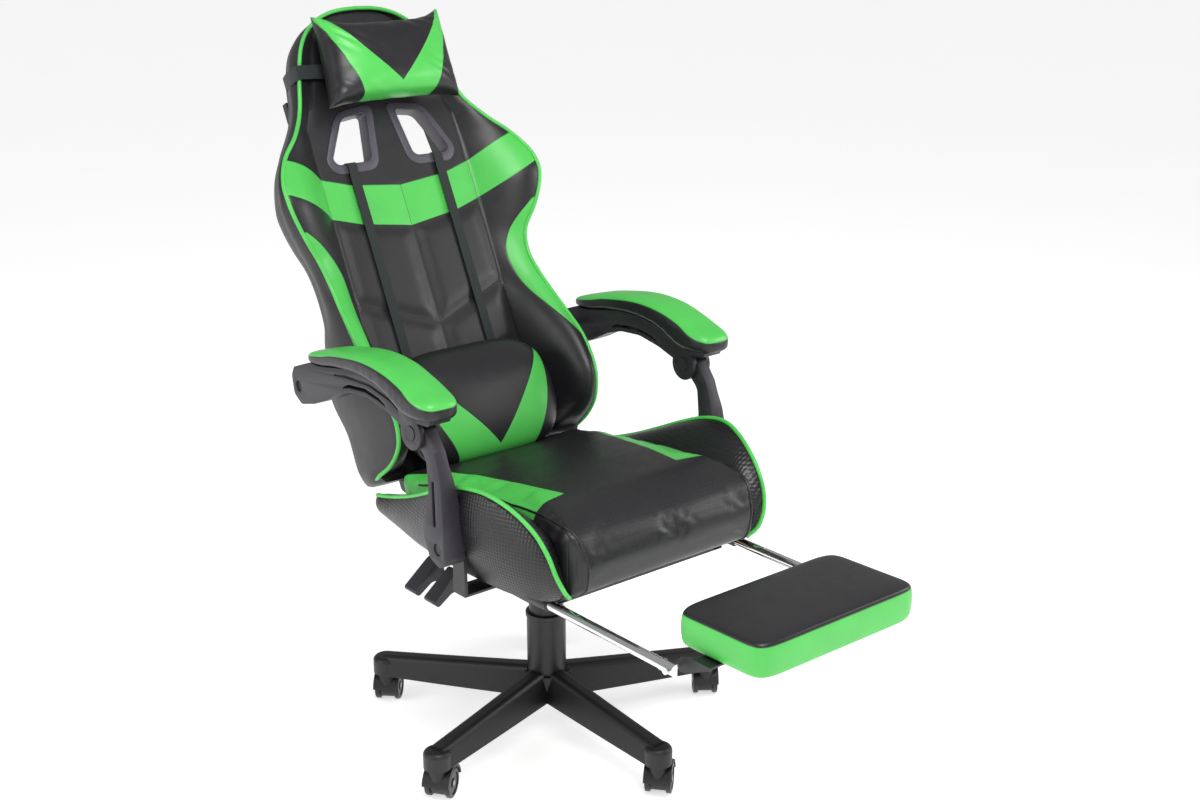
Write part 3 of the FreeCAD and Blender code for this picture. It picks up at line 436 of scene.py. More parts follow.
def metal(name, colour, roughness, brushed=0.0, axis=1):
    """Bare or plated metal; brushed is how much its fine lines along the axis show."""
    material, tree, shader, place = start_material(name, roughness, 1.0)
    stretch = [1.0, 1.0, 1.0]
    stretch[axis] = 0.03
    drawn = add_node(tree, "Mapping", {"Vector": place, "Scale": stretch}).outputs[0]
    scratches = noise(tree, drawn, BRUSH_LINE, 3.0)
    broad = noise(tree, place, 0.02, 2.0)
    tree.links.new(mix(tree, broad, toned(colour, 0.85), colour), shader.inputs["Base Color"])
    rough = calc(tree, "MULTIPLY_ADD", scratches, 0.12 + brushed, max(0.02, roughness - 0.06))
    tree.links.new(rough, shader.inputs["Roughness"])
    bumped(tree, shader, scratches, 0.04 + brushed, 0.0003)
    return material


def webbing(name, colour):
    """Knitted elastic: fine ribs along the strap and a short cross pick, so it looks dull."""
    material, tree, shader, place = start_material(name, 0.75, sheen=0.15)
    parts = add_node(tree, "SeparateXYZ", {0: place})
    ribs = calc(tree, "SINE", calc(tree, "MULTIPLY", parts.outputs[0], math.tau / RIB_PITCH))
    picks = calc(tree, "SINE", calc(tree, "MULTIPLY", parts.outputs[2], math.tau / PICK_PITCH))
    weave = calc(tree, "MULTIPLY_ADD", ribs, 0.6, calc(tree, "MULTIPLY", picks, 0.4))
    factor = calc(tree, "MULTIPLY_ADD", weave, 0.4, 0.5, clamp=True)
    # Painted highlight and shade: the rib and pick crests are coloured lighter than the dips between them.
    tree.links.new(mix(tree, factor, colour, toned(colour, 1.6)), shader.inputs["Base Color"])
    bumped(tree, shader, weave, 0.4, 0.0005)
    return material


def plywood(name):
    """Rotary-cut birch veneer: pale, matt, with soft figure along the grain."""
    material, tree, shader, place = start_material(name, 0.7)
    drawn = add_node(tree, "Mapping", {"Vector": place, "Scale": (1.0, 0.08, 1.0)}).outputs[0]
    figure = noise(tree, drawn, WOOD_FIGURE, 5.0, 0.65)
    tree.links.new(mix(tree, figure, linear("#8A6A45"), linear("#C9A878")), shader.inputs["Base Color"])
    bumped(tree, shader, figure, 0.15, 0.0006)
    return material


# Seams of the back: a, b, c and the height where each stops.
BACK_SEAMS = [(1.0, 0.0, 0.0, 0.995), (1.0, 0.0, -0.155, 1.02), (-0.355, 0.935, -0.689, 1.2),
              (-0.355, 0.935, -0.5816, 1.2)]

FINISHES = {}


def prepare_finishes(look):
    """Makes every finish of the chair from the chosen colours."""
    black, green, plum = (tuple(colour) + (1.0,) for colour in (look.black, look.green, look.side))
    # Polyurethane-coated cloth, roller-embossed and sewn: broad soft highlights.
    FINISHES["back leather"] = leatherette("Sewn back leatherette", black, green, 0.4, lines=BACK_SEAMS)
    FINISHES["two-tone leather"] = leatherette("Two-tone leatherette", black, green, 0.36)
    FINISHES["black leather"] = leatherette("Black leatherette", black, None, 0.36)
    FINISHES["piping"] = leatherette("Green piping leatherette", green, None, 0.4)
    # The same cloth, needle-perforated for air: dark pinholes in rows.
    FINISHES["seat leather"] = leatherette("Perforated seat leatherette", black, green, 0.4, "perforated")
    # Vinyl pressed with a fibre weave: small lozenges that glint in turn, with painted shade in the hollows
    # between them.
    FINISHES["wing leather"] = leatherette("Fibre-weave embossed vinyl", toned(black, 0.9), None, 0.34,
                                           "weave")
    # Moulded nylon, spark-eroded: an even satin.
    FINISHES["bezel"] = moulded("Moulded nylon, plum grey", plum, 0.42, 0.0007, 0.15, 0.15)
    FINISHES["arm nylon"] = moulded("Moulded nylon, arm", linear("#29262C"), 0.45, 0.0008, 0.15, 0.2)
    FINISHES["wheel nylon"] = moulded("Wheel nylon", linear("#161617"), 0.36, 0.001, 0.08, 0.2)
    # Glass-filled nylon: fibres at the skin make it rougher and patchy.
    FINISHES["base nylon"] = moulded("Glass-filled nylon, base", linear("#121214"), 0.46, 0.0012, 0.35, 0.25)
    # Moulded polypropylene: waxy and smooth.
    FINISHES["cover"] = moulded("Polypropylene, column cover", linear("#101012"), 0.42, 0.001, 0.12, 0.2)
    # Powder coat on steel, baked: slight orange peel.
    FINISHES["black steel"] = moulded("Powder-coated steel", linear("#1A1A1C"), 0.38, 0.0015, 0.2, 0.2)
    # Bright chromium over nickel: a near mirror, faintly blue.
    FINISHES["chrome"] = metal("Chromium plate", linear("#EAEBED"), 0.08)
    # Barrel-plated zinc: a dull silver.
    FINISHES["zinc"] = metal("Zinc-plated steel", linear("#A9A9AD"), 0.3, 0.1, 0)
    # Centreless-ground steel: bright, with fine rings.
    FINISHES["gas rod"] = metal("Ground steel", linear("#8C8C90"), 0.18, 0.05, 2)
    FINISHES["webbing"] = webbing("Knitted elastic webbing", linear("#161B1B"))
    FINISHES["plywood"] = plywood("Birch plywood")


# ------------------------------------------------------------------ back
# Ridge of the bolster, where the piping runs: s, x, n.
BACK_RIDGE = [(0.5, 0.216, 0.048), (0.508, 0.212, 0.079), (0.521, 0.211, 0.107), (0.54, 0.211, 0.129),
              (0.578, 0.214, 0.144), (0.618, 0.219, 0.138), (0.66, 0.221, 0.125), (0.702, 0.218, 0.106),
              (0.746, 0.214, 0.086), (0.79, 0.211, 0.067), (0.833, 0.21, 0.055), (0.875, 0.219, 0.056),
              (0.912, 0.241, 0.073), (0.949, 0.257, 0.085), (0.978, 0.263, 0.089),
              (1.012, 0.259, 0.083), (1.056, 0.235, 0.069), (1.096, 0.198, 0.058),
              (1.141, 0.169, 0.046), (1.208, 0.148, 0.044), (1.255, 0.13, 0.044), (1.285, 0.108, 0.044),
              (1.305, 0.08, 0.044), (1.315, 0.052, 0.044), (1.319, 0.026, 0.044), (1.32, 0.0, 0.044)]
# Where the side wall turns into the rear: s, x, n.
BACK_REAR = [(0.5, 0.212, -0.016), (0.522, 0.211, -0.028), (0.584, 0.213, -0.024),
             (0.653, 0.219, -0.034), (0.742, 0.214, -0.012), (0.777, 0.211, 0.006),
             (0.833, 0.212, 0.012), (0.875, 0.219, 0.013), (0.912, 0.24, 0.03), (0.949, 0.256, 0.045),
             (0.978, 0.261, 0.053), (1.031, 0.246, 0.052), (1.075, 0.214, 0.03), (1.141, 0.166, 0.004),
             (1.208, 0.146, -0.01), (1.255, 0.128, -0.014), (1.285, 0.106, -0.014),
             (1.305, 0.078, -0.014), (1.315, 0.05, -0.012), (1.32, 0.0, -0.01)]
FACE_N = 0.0265
REAR_FACE = -0.041
PANEL_EDGE = 0.155
CHEST_TOP = [(0.0, 0.995), (0.1, 1.006), (0.155, 1.022), (0.2, 1.042), (0.236, 1.054), (0.28, 1.06)]
CHEST_LOW = [(0.0, 0.919), (0.1, 0.934), (0.155, 0.95), (0.2, 0.966), (0.258, 0.989), (0.28, 0.994)]
WAIST_EDGE = [(0.64, 0.226), (0.662, 0.214), (0.69, 0.203), (0.725, 0.191), (0.765, 0.18),
              (0.805, 0.174), (0.845, 0.174), (0.876, 0.187), (0.9, 0.208), (0.924, 0.238)]


def chest_line(rows, x):
    """The height of a chevron edge, straight between its corners."""
    for (xa, sa), (xb, sb) in zip(rows, rows[1:]):
        if x <= xb:
            return sa + (sb - sa) * (x - xa) / (xb - xa)
    return rows[-1][1]


def back_panel_value(x, s):
    """Above 0 inside the green chevron across the chest and the green crescents at the waist."""
    x = abs(x)
    chest = min(s - chest_line(CHEST_LOW, x), chest_line(CHEST_TOP, x) - s)
    waist = min(x - at(WAIST_EDGE, s)[0], s - 0.642, 0.925 - s)
    return max(chest, waist)


def quilt(x, s):
    """How far the padding stands out between its sewn lines."""
    x = abs(x)
    if s > chest_line(CHEST_LOW, x) - 0.004:
        d = min(x, abs(x - PANEL_EDGE)) if s < chest_line(CHEST_TOP, x) else abs(x - PANEL_EDGE)
        return 0.001 * (1 - math.exp(-(d / 0.01) ** 2))
    d = min(x, abs(x - PANEL_EDGE), abs(s - 0.737 - 0.38 * x) * 0.93,
            abs(s - 0.622 - 0.38 * x) * 0.93, chest_line(CHEST_LOW, x) - s)
    return 0.0045 * (1 - math.exp(-(d / 0.014) ** 2))


def back_section(s):
    """Half of the back's outline at height s, as (x, n) from the front centre to the rear centre."""
    ridge_x, ridge_n = at(BACK_RIDGE, s)
    rear_x, rear_n = at(BACK_REAR, s)
    base = FACE_N + 0.01 * blend_value(1.145, 1.2, s)
    foot = min(PANEL_EDGE, 0.84 * ridge_x)
    points = []
    for i in range(20):
        x = foot * i / 20
        points.append((x, base + quilt(x, s) * blend_value(0.0, 0.1, ridge_x)))
    rise = ridge_n - base
    bulge = 0.16 * blend_value(0.02, 0.09, rise)
    for i in range(18):
        t = i / 18
        n = base + rise * (1 - (1 - t) ** 1.8 + bulge * math.sin(math.pi * t))
        points.append((foot + (ridge_x - foot) * t, n))
    for i in range(8):
        t = i / 8
        out = 0.006 * math.sin(math.pi * t)
        points.append((ridge_x + (rear_x - ridge_x) * t + out, ridge_n + (rear_n - ridge_n) * t))
    inner = min(0.15, 0.72 * rear_x)
    for i in range(10):
        turn = math.pi / 2 * i / 10
        points.append((inner + (rear_x - inner) * math.cos(turn),
                       rear_n + (REAR_FACE - rear_n) * math.sin(turn)))
    for i in range(9):
        t = i / 8
        points.append((inner * (1 - t), REAR_FACE - 0.002 * math.sin(math.pi / 2 * t)))
    return points


def back_rows():
    """The heights of the back's rings, closer together at its rounded ends: (s, width share)."""
    rows = [(0.486, 0.0), (0.4855, 0.86), (0.4865, 0.94), (0.49, 0.975), (0.496, 0.992)]
    rows += [(0.502 + 0.006 * i, 1.0) for i in range(128)]
    top = rows[-1][0]
    for i in range(1, 22):
        rows.append((top + (1.32 - top) * math.sin(math.pi / 2 * i / 21), 1.0))
    return rows


def make_back_shell():
    """The padded back as rings from its foot to its top, with the rear pan and belt holes cut out."""
    rings = []
    for s, share in back_rows():
        ring = [on_back(x * share, s, 0.03 + (n - 0.03) * share) for x, n in back_section(s)]
        rings.append(ring)
    last = len(rings[0]) - 1

    def point(column, row):
        if column <= last:
            return rings[row][column]
        place = rings[row][2 * last - column].copy()
        place.x = -place.x
        return place

    shell = surface("back_cover", 2 * last, len(rings) - 1, point)
    pan = plate("cutter", [on_back(x, s, -0.09) for x, s in rounded(REAR_PAN)], BACK_OUT * (0.09 + PAN_FLOOR))
    modify(shell, "BOOLEAN", operation="DIFFERENCE", object=pan, solver="EXACT")
    bpy.data.objects.remove(pan)
    for name, side in SIDES:
        hole = [on_back(side * x, s, -0.09) for x, s in belt_ring(BEZEL_INNER, 0.0032)]
        cutter = plate("cutter", hole, BACK_OUT * 0.18)
        modify(shell, "BOOLEAN", operation="DIFFERENCE", object=cutter, solver="EXACT")
        bpy.data.objects.remove(cutter)

    def value(place):
        s, n = place.dot(BACK_UP), place.dot(BACK_OUT)
        ridge_x, ridge_n = at(BACK_RIDGE, s)
        share = abs(place.x) / max(ridge_x, 0.001)
        front = share < 1.001 and n > max(0.02, 0.82 * ridge_n * share ** 4)
        return back_panel_value(place.x, s) if front else OUTSIDE

    mark(shell, "panel", value)
    smooth(shell, 60)
    dress(shell, "back", FINISHES["back leather"], ["back_cushion", "back_panel"])


def plate(name, corners, push):
    """A slab: a ring of corners, filled and pushed out."""
    bpy.ops.object.select_all(action="DESELECT")
    bpy.ops.mesh.primitive_circle_add(vertices=len(corners), fill_type="NGON")
    piece = bpy.context.object
    piece.name = piece.data.name = name
    for vertex, corner in zip(piece.data.vertices, corners):
        vertex.co = corner
    bpy.ops.object.mode_set(mode="EDIT")
    bpy.ops.mesh.select_all(action="SELECT")
    bpy.ops.mesh.extrude_region_move(TRANSFORM_OT_translate={"value": push})
    bpy.ops.mesh.select_all(action="SELECT")
    bpy.ops.mesh.normals_make_consistent(inside=False)
    bpy.ops.object.mode_set(mode="OBJECT")
    return piece


REAR_PAN = [(-0.136, 1.026, 0.02), (0.136, 1.026, 0.02), (0.122, 1.154, 0.02), (-0.122, 1.154, 0.02)]
PAN_FLOOR = 0.0018
# Outlines of the belt bezels at the right of the back's centre: x, s, corner radius.
BEZEL_OUTER = [(0.013, 1.149, 0.016), (0.093, 1.138, 0.018), (0.138, 1.05, 0.018),
               (0.122, 1.026, 0.014), (0.032, 1.027, 0.022)]
BEZEL_INNER = [(0.03, 1.133, 0.008), (0.083, 1.126, 0.01), (0.122, 1.054, 0.009),
               (0.114, 1.0435, 0.008), (0.0445, 1.0445, 0.011)]


def rounded(corners, steps=6):
    """A ring of points with its corners rounded; each corner is (u, v, radius)."""
    ring = []
    for i, (u, v, radius) in enumerate(corners):
        here = Vector((u, v))
        back = (Vector(corners[i - 1][:2]) - here)
        on = (Vector(corners[(i + 1) % len(corners)][:2]) - here)
        cut = min(radius * 1.2, back.length * 0.48, on.length * 0.48)
        a, b = here + back.normalized() * cut, here + on.normalized() * cut
        for k in range(steps + 1):
            t = k / steps
            ring.append(a * (1 - t) ** 2 + here * 2 * t * (1 - t) + b * t * t)
    return ring


def belt_ring(corners, grow):
    """A bezel outline, grown outward: a ring of (x, s)."""
    ring = rounded(corners, 8)
    count = len(ring)
    grown = []
    for i, spot in enumerate(ring):
        along = (ring[(i + 1) % count] - ring[i - 1]).normalized()
        grown.append(spot + Vector((-along.y, along.x)) * grow)
    return grown


def make_bezels():
    """Two moulded rings: a flat flange with a raised lip, a barrel through the wall and a rear flange."""
    floor = PAN_FLOOR
    sections = [(BEZEL_OUTER, 0.0, FACE_N - 0.001), (BEZEL_OUTER, 0.0, FACE_N + 0.0016),
                (BEZEL_OUTER, -0.0006, FACE_N + 0.0026), (BEZEL_OUTER, -0.0018, FACE_N + 0.0031),
                (BEZEL_INNER, 0.003, FACE_N + 0.0031), (BEZEL_INNER, 0.0024, FACE_N + 0.004),
                (BEZEL_INNER, 0.0012, FACE_N + 0.0043), (BEZEL_INNER, 0.0003, FACE_N + 0.0038),
                (BEZEL_INNER, 0.0, FACE_N + 0.0026), (BEZEL_INNER, 0.0, floor - 0.0022),
                (BEZEL_INNER, 0.0006, floor - 0.003), (BEZEL_INNER, 0.0056, floor - 0.003),
                (BEZEL_INNER, 0.0062, floor - 0.0022), (BEZEL_INNER, 0.0062, floor + 0.0004),
                (BEZEL_INNER, 0.0026, floor + 0.0004), (BEZEL_INNER, 0.0026, FACE_N - 0.001)]
    for name, side in SIDES:
        rings = [[on_back(side * x, s, n) for x, s in belt_ring(shape, grow)] for shape, grow, n in sections]
        count = len(rings[0])

        def point(column, row):
            return rings[row % len(rings)][column % count]

        bezel = surface("belt_bezel_cover_" + name, count, len(rings), point)
        smooth(bezel, 50)
        dress(bezel, "back", FINISHES["bezel"], ["belt_bezel_" + name])


def make_back_piping():
    """The green cord along the ridge of the back, from one foot over the top to the other."""
    heights = [0.5 + (1.0 - math.cos(math.pi / 2 * i / 8)) * 0.04 for i in range(9)]
    heights += [0.546 + 0.006 * i for i in range(120)]
    top = heights[-1]
    heights += [top + (1.32 - top) * math.sin(math.pi / 2 * i / 24) for i in range(1, 25)]
    half = []
    for s in heights:
        x, n = at(BACK_RIDGE, s)
        half.append(on_back(x + 0.0006, s, n + 0.0002))
    half[:0] = [on_back(0.214, 0.4965, 0.03), on_back(0.215, 0.4975, 0.039)]
    other = [Vector((-p.x, p.y, p.z)) for p in reversed(half[:-1])]
    piping = tube("back_piping", half + other, bpy.context.scene.chair_sizes.piping)
    dress(piping, "back", FINISHES["piping"])


STRAP_X = 0.0905
STRAP_HALF = 0.009
STRAP_THICKNESS = 0.0014
BAND_S = 1.209
BAND_HALF = 0.0125
BAND_THICKNESS = 0.0016


def make_straps():
    """Two loops through the belt holes for the lumbar pillow, and the band of the head pillow."""
    for name, side in SIDES:
        path = [(1.03, -0.0445), (1.04, -0.03), (1.045, 0.0), (1.0455, 0.026), (1.044, 0.0325),
                (1.038, 0.0352), (1.028, 0.0345), (1.018, 0.0335), (1.000, 0.0335), (0.9, 0.0347),
                (0.8, 0.0344), (0.7, 0.0344), (0.69, 0.0343), (0.6, 0.034), (0.51, 0.033),
                (0.489, 0.0305), (0.483, 0.024), (0.4815, 0.0), (0.483, -0.034), (0.489, -0.044),
                (0.51, -0.045), (0.7, -0.045), (1.000, -0.045), (1.024, -0.0452)]
        points = [on_back(side * STRAP_X, s, n) for s, n in path]
        strap = ribbon("lumbar_strap_" + name, points, Vector((STRAP_HALF, 0, 0)), STRAP_THICKNESS)
        replaced = ["lumbar_straps"] if side < 0 else []
        dress(strap, "back", FINISHES["webbing"], replaced)
    loop = [(0.06, 0.044), (0.1, 0.0455), (0.128, 0.049), (0.147, 0.0515), (0.156, 0.05),
            (0.1585, 0.042), (0.1565, 0.02), (0.1525, 0.0), (0.148, -0.014), (0.138, -0.029),
            (0.12, -0.038), (0.095, -0.0432), (0.05, -0.0448)]
    ring = [on_back(x, BAND_S, n) for x, n in loop] + [on_back(-x, BAND_S, n) for x, n in reversed(loop)]
    band = ribbon("head_strap_band", ring, BACK_UP * BAND_HALF, BAND_THICKNESS)
    dress(band, "head_pillow", FINISHES["webbing"], ["head_strap"])


# ------------------------------------------------------------------ pillows
LUMBAR_CENTRE = (-0.018, 0.582, 0.089)
LUMBAR_HALF = 0.16
LUMBAR_OUTER = [(0.486, 0.08), (0.506, 0.09), (0.545, 0.11), (0.587, 0.127), (0.63, 0.138),
                (0.667, 0.144), (0.69, 0.146)]


def make_lumbar_pillow():
    """A bolster pillow with full rounded ends and a green chevron round a black wedge."""
    x0, s0, n0 = LUMBAR_CENTRE
    columns, rows = 64, 56

    def point(column, row):
        u = -math.cos(math.pi * row / rows)
        end = (1 - abs(u) ** 4.5) ** 0.5 if abs(u) < 1 else 0.0
        turn = math.tau * column / columns
        c, q = math.cos(turn), math.sin(turn)
        high = math.copysign(abs(c) ** 0.86, c) * (0.12 + 0.88 * end) * (0 if end == 0 else 1)
        deep = math.copysign(abs(q) ** 0.86, q) * end
        s = s0 + 0.101 * high - 0.01 * deep
        n = n0 + (0.06 if deep > 0 else 0.051) * deep
        dent = 0.0035 * math.exp(-((s - s0 - 0.075) / 0.02) ** 2) * (1 - u * u)
        x = x0 + LUMBAR_HALF * math.copysign(abs(u) ** 0.94, u)
        squeeze = 1 - 0.16 * blend_value(0.11, 0.036, n)
        return on_back(x0 + (x - x0) * squeeze, s, max(n - dent, 0.0372))

    pillow = surface("lumbar_cushion", columns, rows, point)
    modify(pillow, "SUBSURF", levels=1, render_levels=1)

    def value(place):
        x, s, n = abs(place.x - x0), place.dot(BACK_UP), place.dot(BACK_OUT)
        if n < 0.06:
            return OUTSIDE
        return min(x - 0.886 * (s - 0.498), at(LUMBAR_OUTER, s + 0.003)[0] - x)

    mark(pillow, "panel", value)
    dress(pillow, "lumbar_pillow", FINISHES["two-tone leather"], ["lumbar_pillow"])


def make_head_pillow():
    """A flat pillow with four pulled corners and a green chevron."""
    columns, rows = 60, 44

    def point(column, row):
        front = column <= columns
        u = -1 + 2 * column / columns if front else 1 - 2 * (column - columns) / columns
        v = -1 + 2 * row / rows
        low, high = 1.137 - 0.011 * u ** 4, 1.277 + 0.024 * u ** 4
        s = low + (high - low) * (v + 1) / 2
        x = u * (0.124 + 0.009 * v ** 4) * (1 + 0.02 * (1 - v))
        x += 0.017 * (s - 1.13) / 0.17
        rim = (1 - u ** 4) * (1 - v ** 4)
        swell = max(0.0, rim) ** 0.42
        crease = 0.0009 * math.sin(17 * u + 4 * math.sin(5 * v + 3 * u) + 9 * v) * (1 - rim) * rim * 4
        middle = 0.08 - 0.006 * v
        n = middle + (0.046 if front else -0.033) * swell + crease
        return on_back(x, s + 0.5 * crease, max(n, 0.0472))

    pillow = surface("head_cushion", 2 * columns, rows, point)
    modify(pillow, "SUBSURF", levels=1, render_levels=1)

    def value(place):
        x, s, n = place.x, place.dot(BACK_UP), place.dot(BACK_OUT)
        x = abs(x - 0.017 * (s - 1.13) / 0.17)
        if n < 0.074:
            return OUTSIDE
        h = (s - 1.13) / 0.166
        bow = math.sin(math.pi * min(1, max(0, h)))
        outer = 0.07 + 0.06 * h + 0.004 * bow - x
        g = (s - 1.156) / 0.14
        inner = x - 0.122 * g - 0.006 * math.sin(math.pi * min(1, max(0, g)))
        return min(outer, inner)

    mark(pillow, "panel", value)
    dress(pillow, "head_pillow", FINISHES["two-tone leather"], ["head_pillow"])


# ------------------------------------------------------------------ seat
STRIPE_EDGE = [(-0.23, 0.112), (-0.2, 0.117), (-0.116, 0.132), (-0.05, 0.141), (0.000, 0.148),
               (0.043, 0.157), (0.091, 0.168), (0.145, 0.184)]
SEAT_TOP = [(-0.331, 0.47), (-0.312, 0.5), (-0.28, 0.516), (-0.23, 0.521), (-0.11, 0.514), (0.000, 0.5),
            (0.06, 0.484), (0.11, 0.462), (0.145, 0.438)]

# The seam of the cushion's side, over its edge and down its front: y, z, x.
WELT = [(0.1, 0.47, 0.193), (0.0, 0.5, 0.191), (-0.12, 0.512, 0.189), (-0.22, 0.517, 0.186),
        (-0.28, 0.508, 0.18), (-0.312, 0.485, 0.174), (-0.326, 0.45, 0.17), (-0.316, 0.415, 0.168),
        (-0.305, 0.403, 0.166)]
# How far the rear of the cushion is raised to meet the pillow.
SEAT_HEEL = 0.011


def make_seat_cover():
    """The padded cushion with its green stripes, and the welts along its sides."""
    cushion = copied("seat_cushion", "seat_cover")
    plump(cushion, 0.0055, 4.0, 0.006)
    modify(cushion, "SUBSURF", levels=1, render_levels=1)
    for vertex in cushion.data.vertices:
        place = vertex.co
        place.x = max(-0.1935, min(0.1935, place.x))
        rear = blend_value(0.0, 0.12, place.y) * blend_value(0.425, 0.45, place.z)
        place.z = max(0.4015, place.z + SEAT_HEEL * rear)
        place.y += SEAT_HEEL * rear * blend_value(0.11, 0.14, place.y)

    def value(place):
        x, y, z = abs(place.x), place.y, place.z
        top = at(SEAT_TOP, y)[0]
        return min(x - at(STRIPE_EDGE, y)[0], y + 0.2 + 0.22 * (x - 0.117), z - top + 0.016)

    mark(cushion, "panel", value)
    dress(cushion, "seat", FINISHES["seat leather"], ["seat_cushion"])
    for name, side in SIDES:
        path = []
        for i in range(60):
            y, z, x = through(WELT, i / 59)
            found, place, normal, _ = cushion.closest_point_on_mesh(Vector((side * x, y, z)))
            path.append(place + normal * 0.0004)
        welt = tube("seat_welt_" + name, path, 0.0018)
        dress(welt, "seat", FINISHES["black leather"])


# The wing's piping, from the rear tip forward, over the crest and down to the front tip: x, y, z.
WING_RIDGE = [(0.226, 0.168, 0.44), (0.228, 0.12, 0.452), (0.233, 0.075, 0.467), (0.238, 0.035, 0.482),
              (0.245, -0.01, 0.502), (0.252, -0.06, 0.525), (0.258, -0.105, 0.543),
              (0.259, -0.145, 0.552), (0.254, -0.18, 0.553), (0.246, -0.212, 0.545),
              (0.238, -0.242, 0.531), (0.23, -0.272, 0.509), (0.224, -0.294, 0.48),
              (0.217, -0.305, 0.448), (0.203, -0.307, 0.42), (0.186, -0.297, 0.402)]
# The wing's lower outer edge, from the rear forward: x, y, z.
WING_FOOT = [(0.222, 0.16, 0.408), (0.228, 0.1, 0.402), (0.236, 0.03, 0.397), (0.24, -0.05, 0.395),
             (0.24, -0.13, 0.395), (0.236, -0.2, 0.395), (0.224, -0.255, 0.396), (0.2, -0.284, 0.397),
             (0.186, -0.29, 0.398)]
# Where the wing meets the cushion: y, z.
WING_INNER = [(0.16, 0.43), (0.1, 0.45), (0.03, 0.478), (-0.05, 0.496), (-0.13, 0.503), (-0.2, 0.504),
              (-0.255, 0.492), (-0.28, 0.46), (-0.287, 0.412)]


def wing_ring(t, side):
    """One ring of the wing: outside from foot to ridge, then down the inside and under."""
    ridge, foot = Vector(through(WING_RIDGE, t)), Vector(through(WING_FOOT, t))
    inner = Vector((0.1945, *through(WING_INNER, t)))
    ring = []
    height = (ridge - foot).length
    for i in range(16):
        f = i / 15
        out = 0.075 * height * math.sin(math.pi * min(1, f * 1.02)) + 0.006 * math.sin(math.pi * f) ** 0.5
        ring.append(foot.lerp(ridge, f) + Vector((out, 0, 0)))
    for i in range(1, 10):
        f = i / 9
        sag = 0.008 * math.sin(math.pi * f)
        ring.append(ridge.lerp(inner, f) + Vector((-sag * 0.3, 0, sag * 0.6)))
    under = Vector((0.1945, foot.y, foot.z + 0.001))
    for i in range(1, 8):
        ring.append(inner.lerp(under, i / 7))
    for i in range(1, 6):
        ring.append(under.lerp(foot, i / 5))
    return [Vector((side * p.x, p.y, p.z)) for p in ring]


def make_wings():
    """The two side bolsters of the seat, swept along their ridge, and their piping."""
    for name, side in SIDES:
        rings = [wing_ring(i / 90, side) for i in range(91)]
        first, last = sum(rings[0], Vector()) / len(rings[0]), sum(rings[-1], Vector()) / len(rings[-1])
        count = len(rings[0]) - 1

        def point(column, row):
            if row == 0:
                return first
            if row == 92:
                return last
            return rings[row - 1][column]

        wing = surface("seat_wing_cover_" + name, count, 92, point)
        dress(wing, "seat", FINISHES["wing leather"], ["seat_wing_" + name])
        path = [Vector(through(WING_RIDGE, i / 120)) for i in range(121)]
        proud = [Vector((side * (p.x + 0.0005), p.y, p.z + 0.0006)) for p in path]
        piping = tube("wing_piping_" + name, proud, bpy.context.scene.chair_sizes.piping)
        dress(piping, "seat", FINISHES["piping"])


# ------------------------------------------------------------------ arm pads and footrest
# The arm pad from its rear tip forward: -y, top z, bottom z, half width.
PAD_SHAPE = [(-0.252, 0.6835, 0.679, 0.006), (-0.244, 0.688, 0.6735, 0.017),
             (-0.225, 0.6945, 0.6735, 0.024), (-0.19, 0.7045, 0.677, 0.028),
             (-0.15, 0.7145, 0.685, 0.031), (-0.062, 0.7275, 0.6912, 0.035),
             (0.003, 0.7245, 0.6815, 0.037), (0.053, 0.7125, 0.6595, 0.038),
             (0.085, 0.7005, 0.6575, 0.0375), (0.103, 0.6945, 0.659, 0.0345),
             (0.115, 0.689, 0.66, 0.0285), (0.1205, 0.683, 0.661, 0.02), (0.1235, 0.6735, 0.665, 0.009)]
PAD_X = 0.284
PAD_EDGE = [(-0.12, 0.6785), (-0.085, 0.6875), (-0.053, 0.7015), (-0.003, 0.714), (0.062, 0.717),
            (0.15, 0.705), (0.189, 0.695), (0.25, 0.682)]


def make_arm_pads():
    """The two soft arm pads: green above the seam, black and gathered below it."""
    columns, rows = 44, 72
    rear, front = PAD_SHAPE[0][0], PAD_SHAPE[-1][0]
    for name, side in SIDES:
        def point(column, row):
            key = rear + (front - rear) * (1 - math.cos(math.pi * row / rows)) / 2
            top, low, wide = at(PAD_SHAPE, key)
            if row in (0, rows):
                return Vector((side * PAD_X, -key, (top + low) / 2))
            turn = math.tau * column / columns
            c, q = math.cos(turn), math.sin(turn)
            across = math.copysign(abs(c) ** 0.62, c)
            up = math.copysign(abs(q) ** (0.72 if q > 0 else 0.5), q)
            z = (top + low) / 2 + (top - low) / 2 * up
            edge = at(PAD_EDGE, -key)[0]
            gather = blend_value(-0.115, -0.07, -key) * (1 - blend_value(0.05, 0.12, -key))
            fold = math.sin(math.tau * key / 0.0115 + 2.2 * math.sin(70 * key) + 30 * z)
            wrinkle = 0.0006 * fold * gather * (1 - blend_value(edge - 0.012, edge - 0.001, z))
            return Vector((side * (PAD_X + across * (wide + wrinkle)), -key, z))

        pad = surface("arm_pad_cover_" + name, columns, rows, point)
        modify(pad, "SUBSURF", levels=1, render_levels=1)
        mark(pad, "panel", lambda place: place.z - at(PAD_EDGE, place.y)[0])
        dress(pad, "arm_beam_" + name, FINISHES["two-tone leather"],
              ["arm_pad_" + name])


# Half of the footrest pad's section, from under its middle to the middle of its top: share of the plan, z.
FOOT_PAD = [(0.0, 0.4012), (0.5, 0.4012), (0.85, 0.4012), (0.945, 0.4016), (0.972, 0.4035),
            (0.986, 0.4075), (0.993, 0.413), (0.999, 0.422), (1.001, 0.431), (0.999, 0.44),
            (0.993, 0.4465), (0.985, 0.4505), (0.972, 0.4535), (0.955, 0.455), (0.93, 0.4558),
            (0.86, 0.457), (0.7, 0.458), (0.45, 0.4586), (0.2, 0.4588), (0.0, 0.4588)]


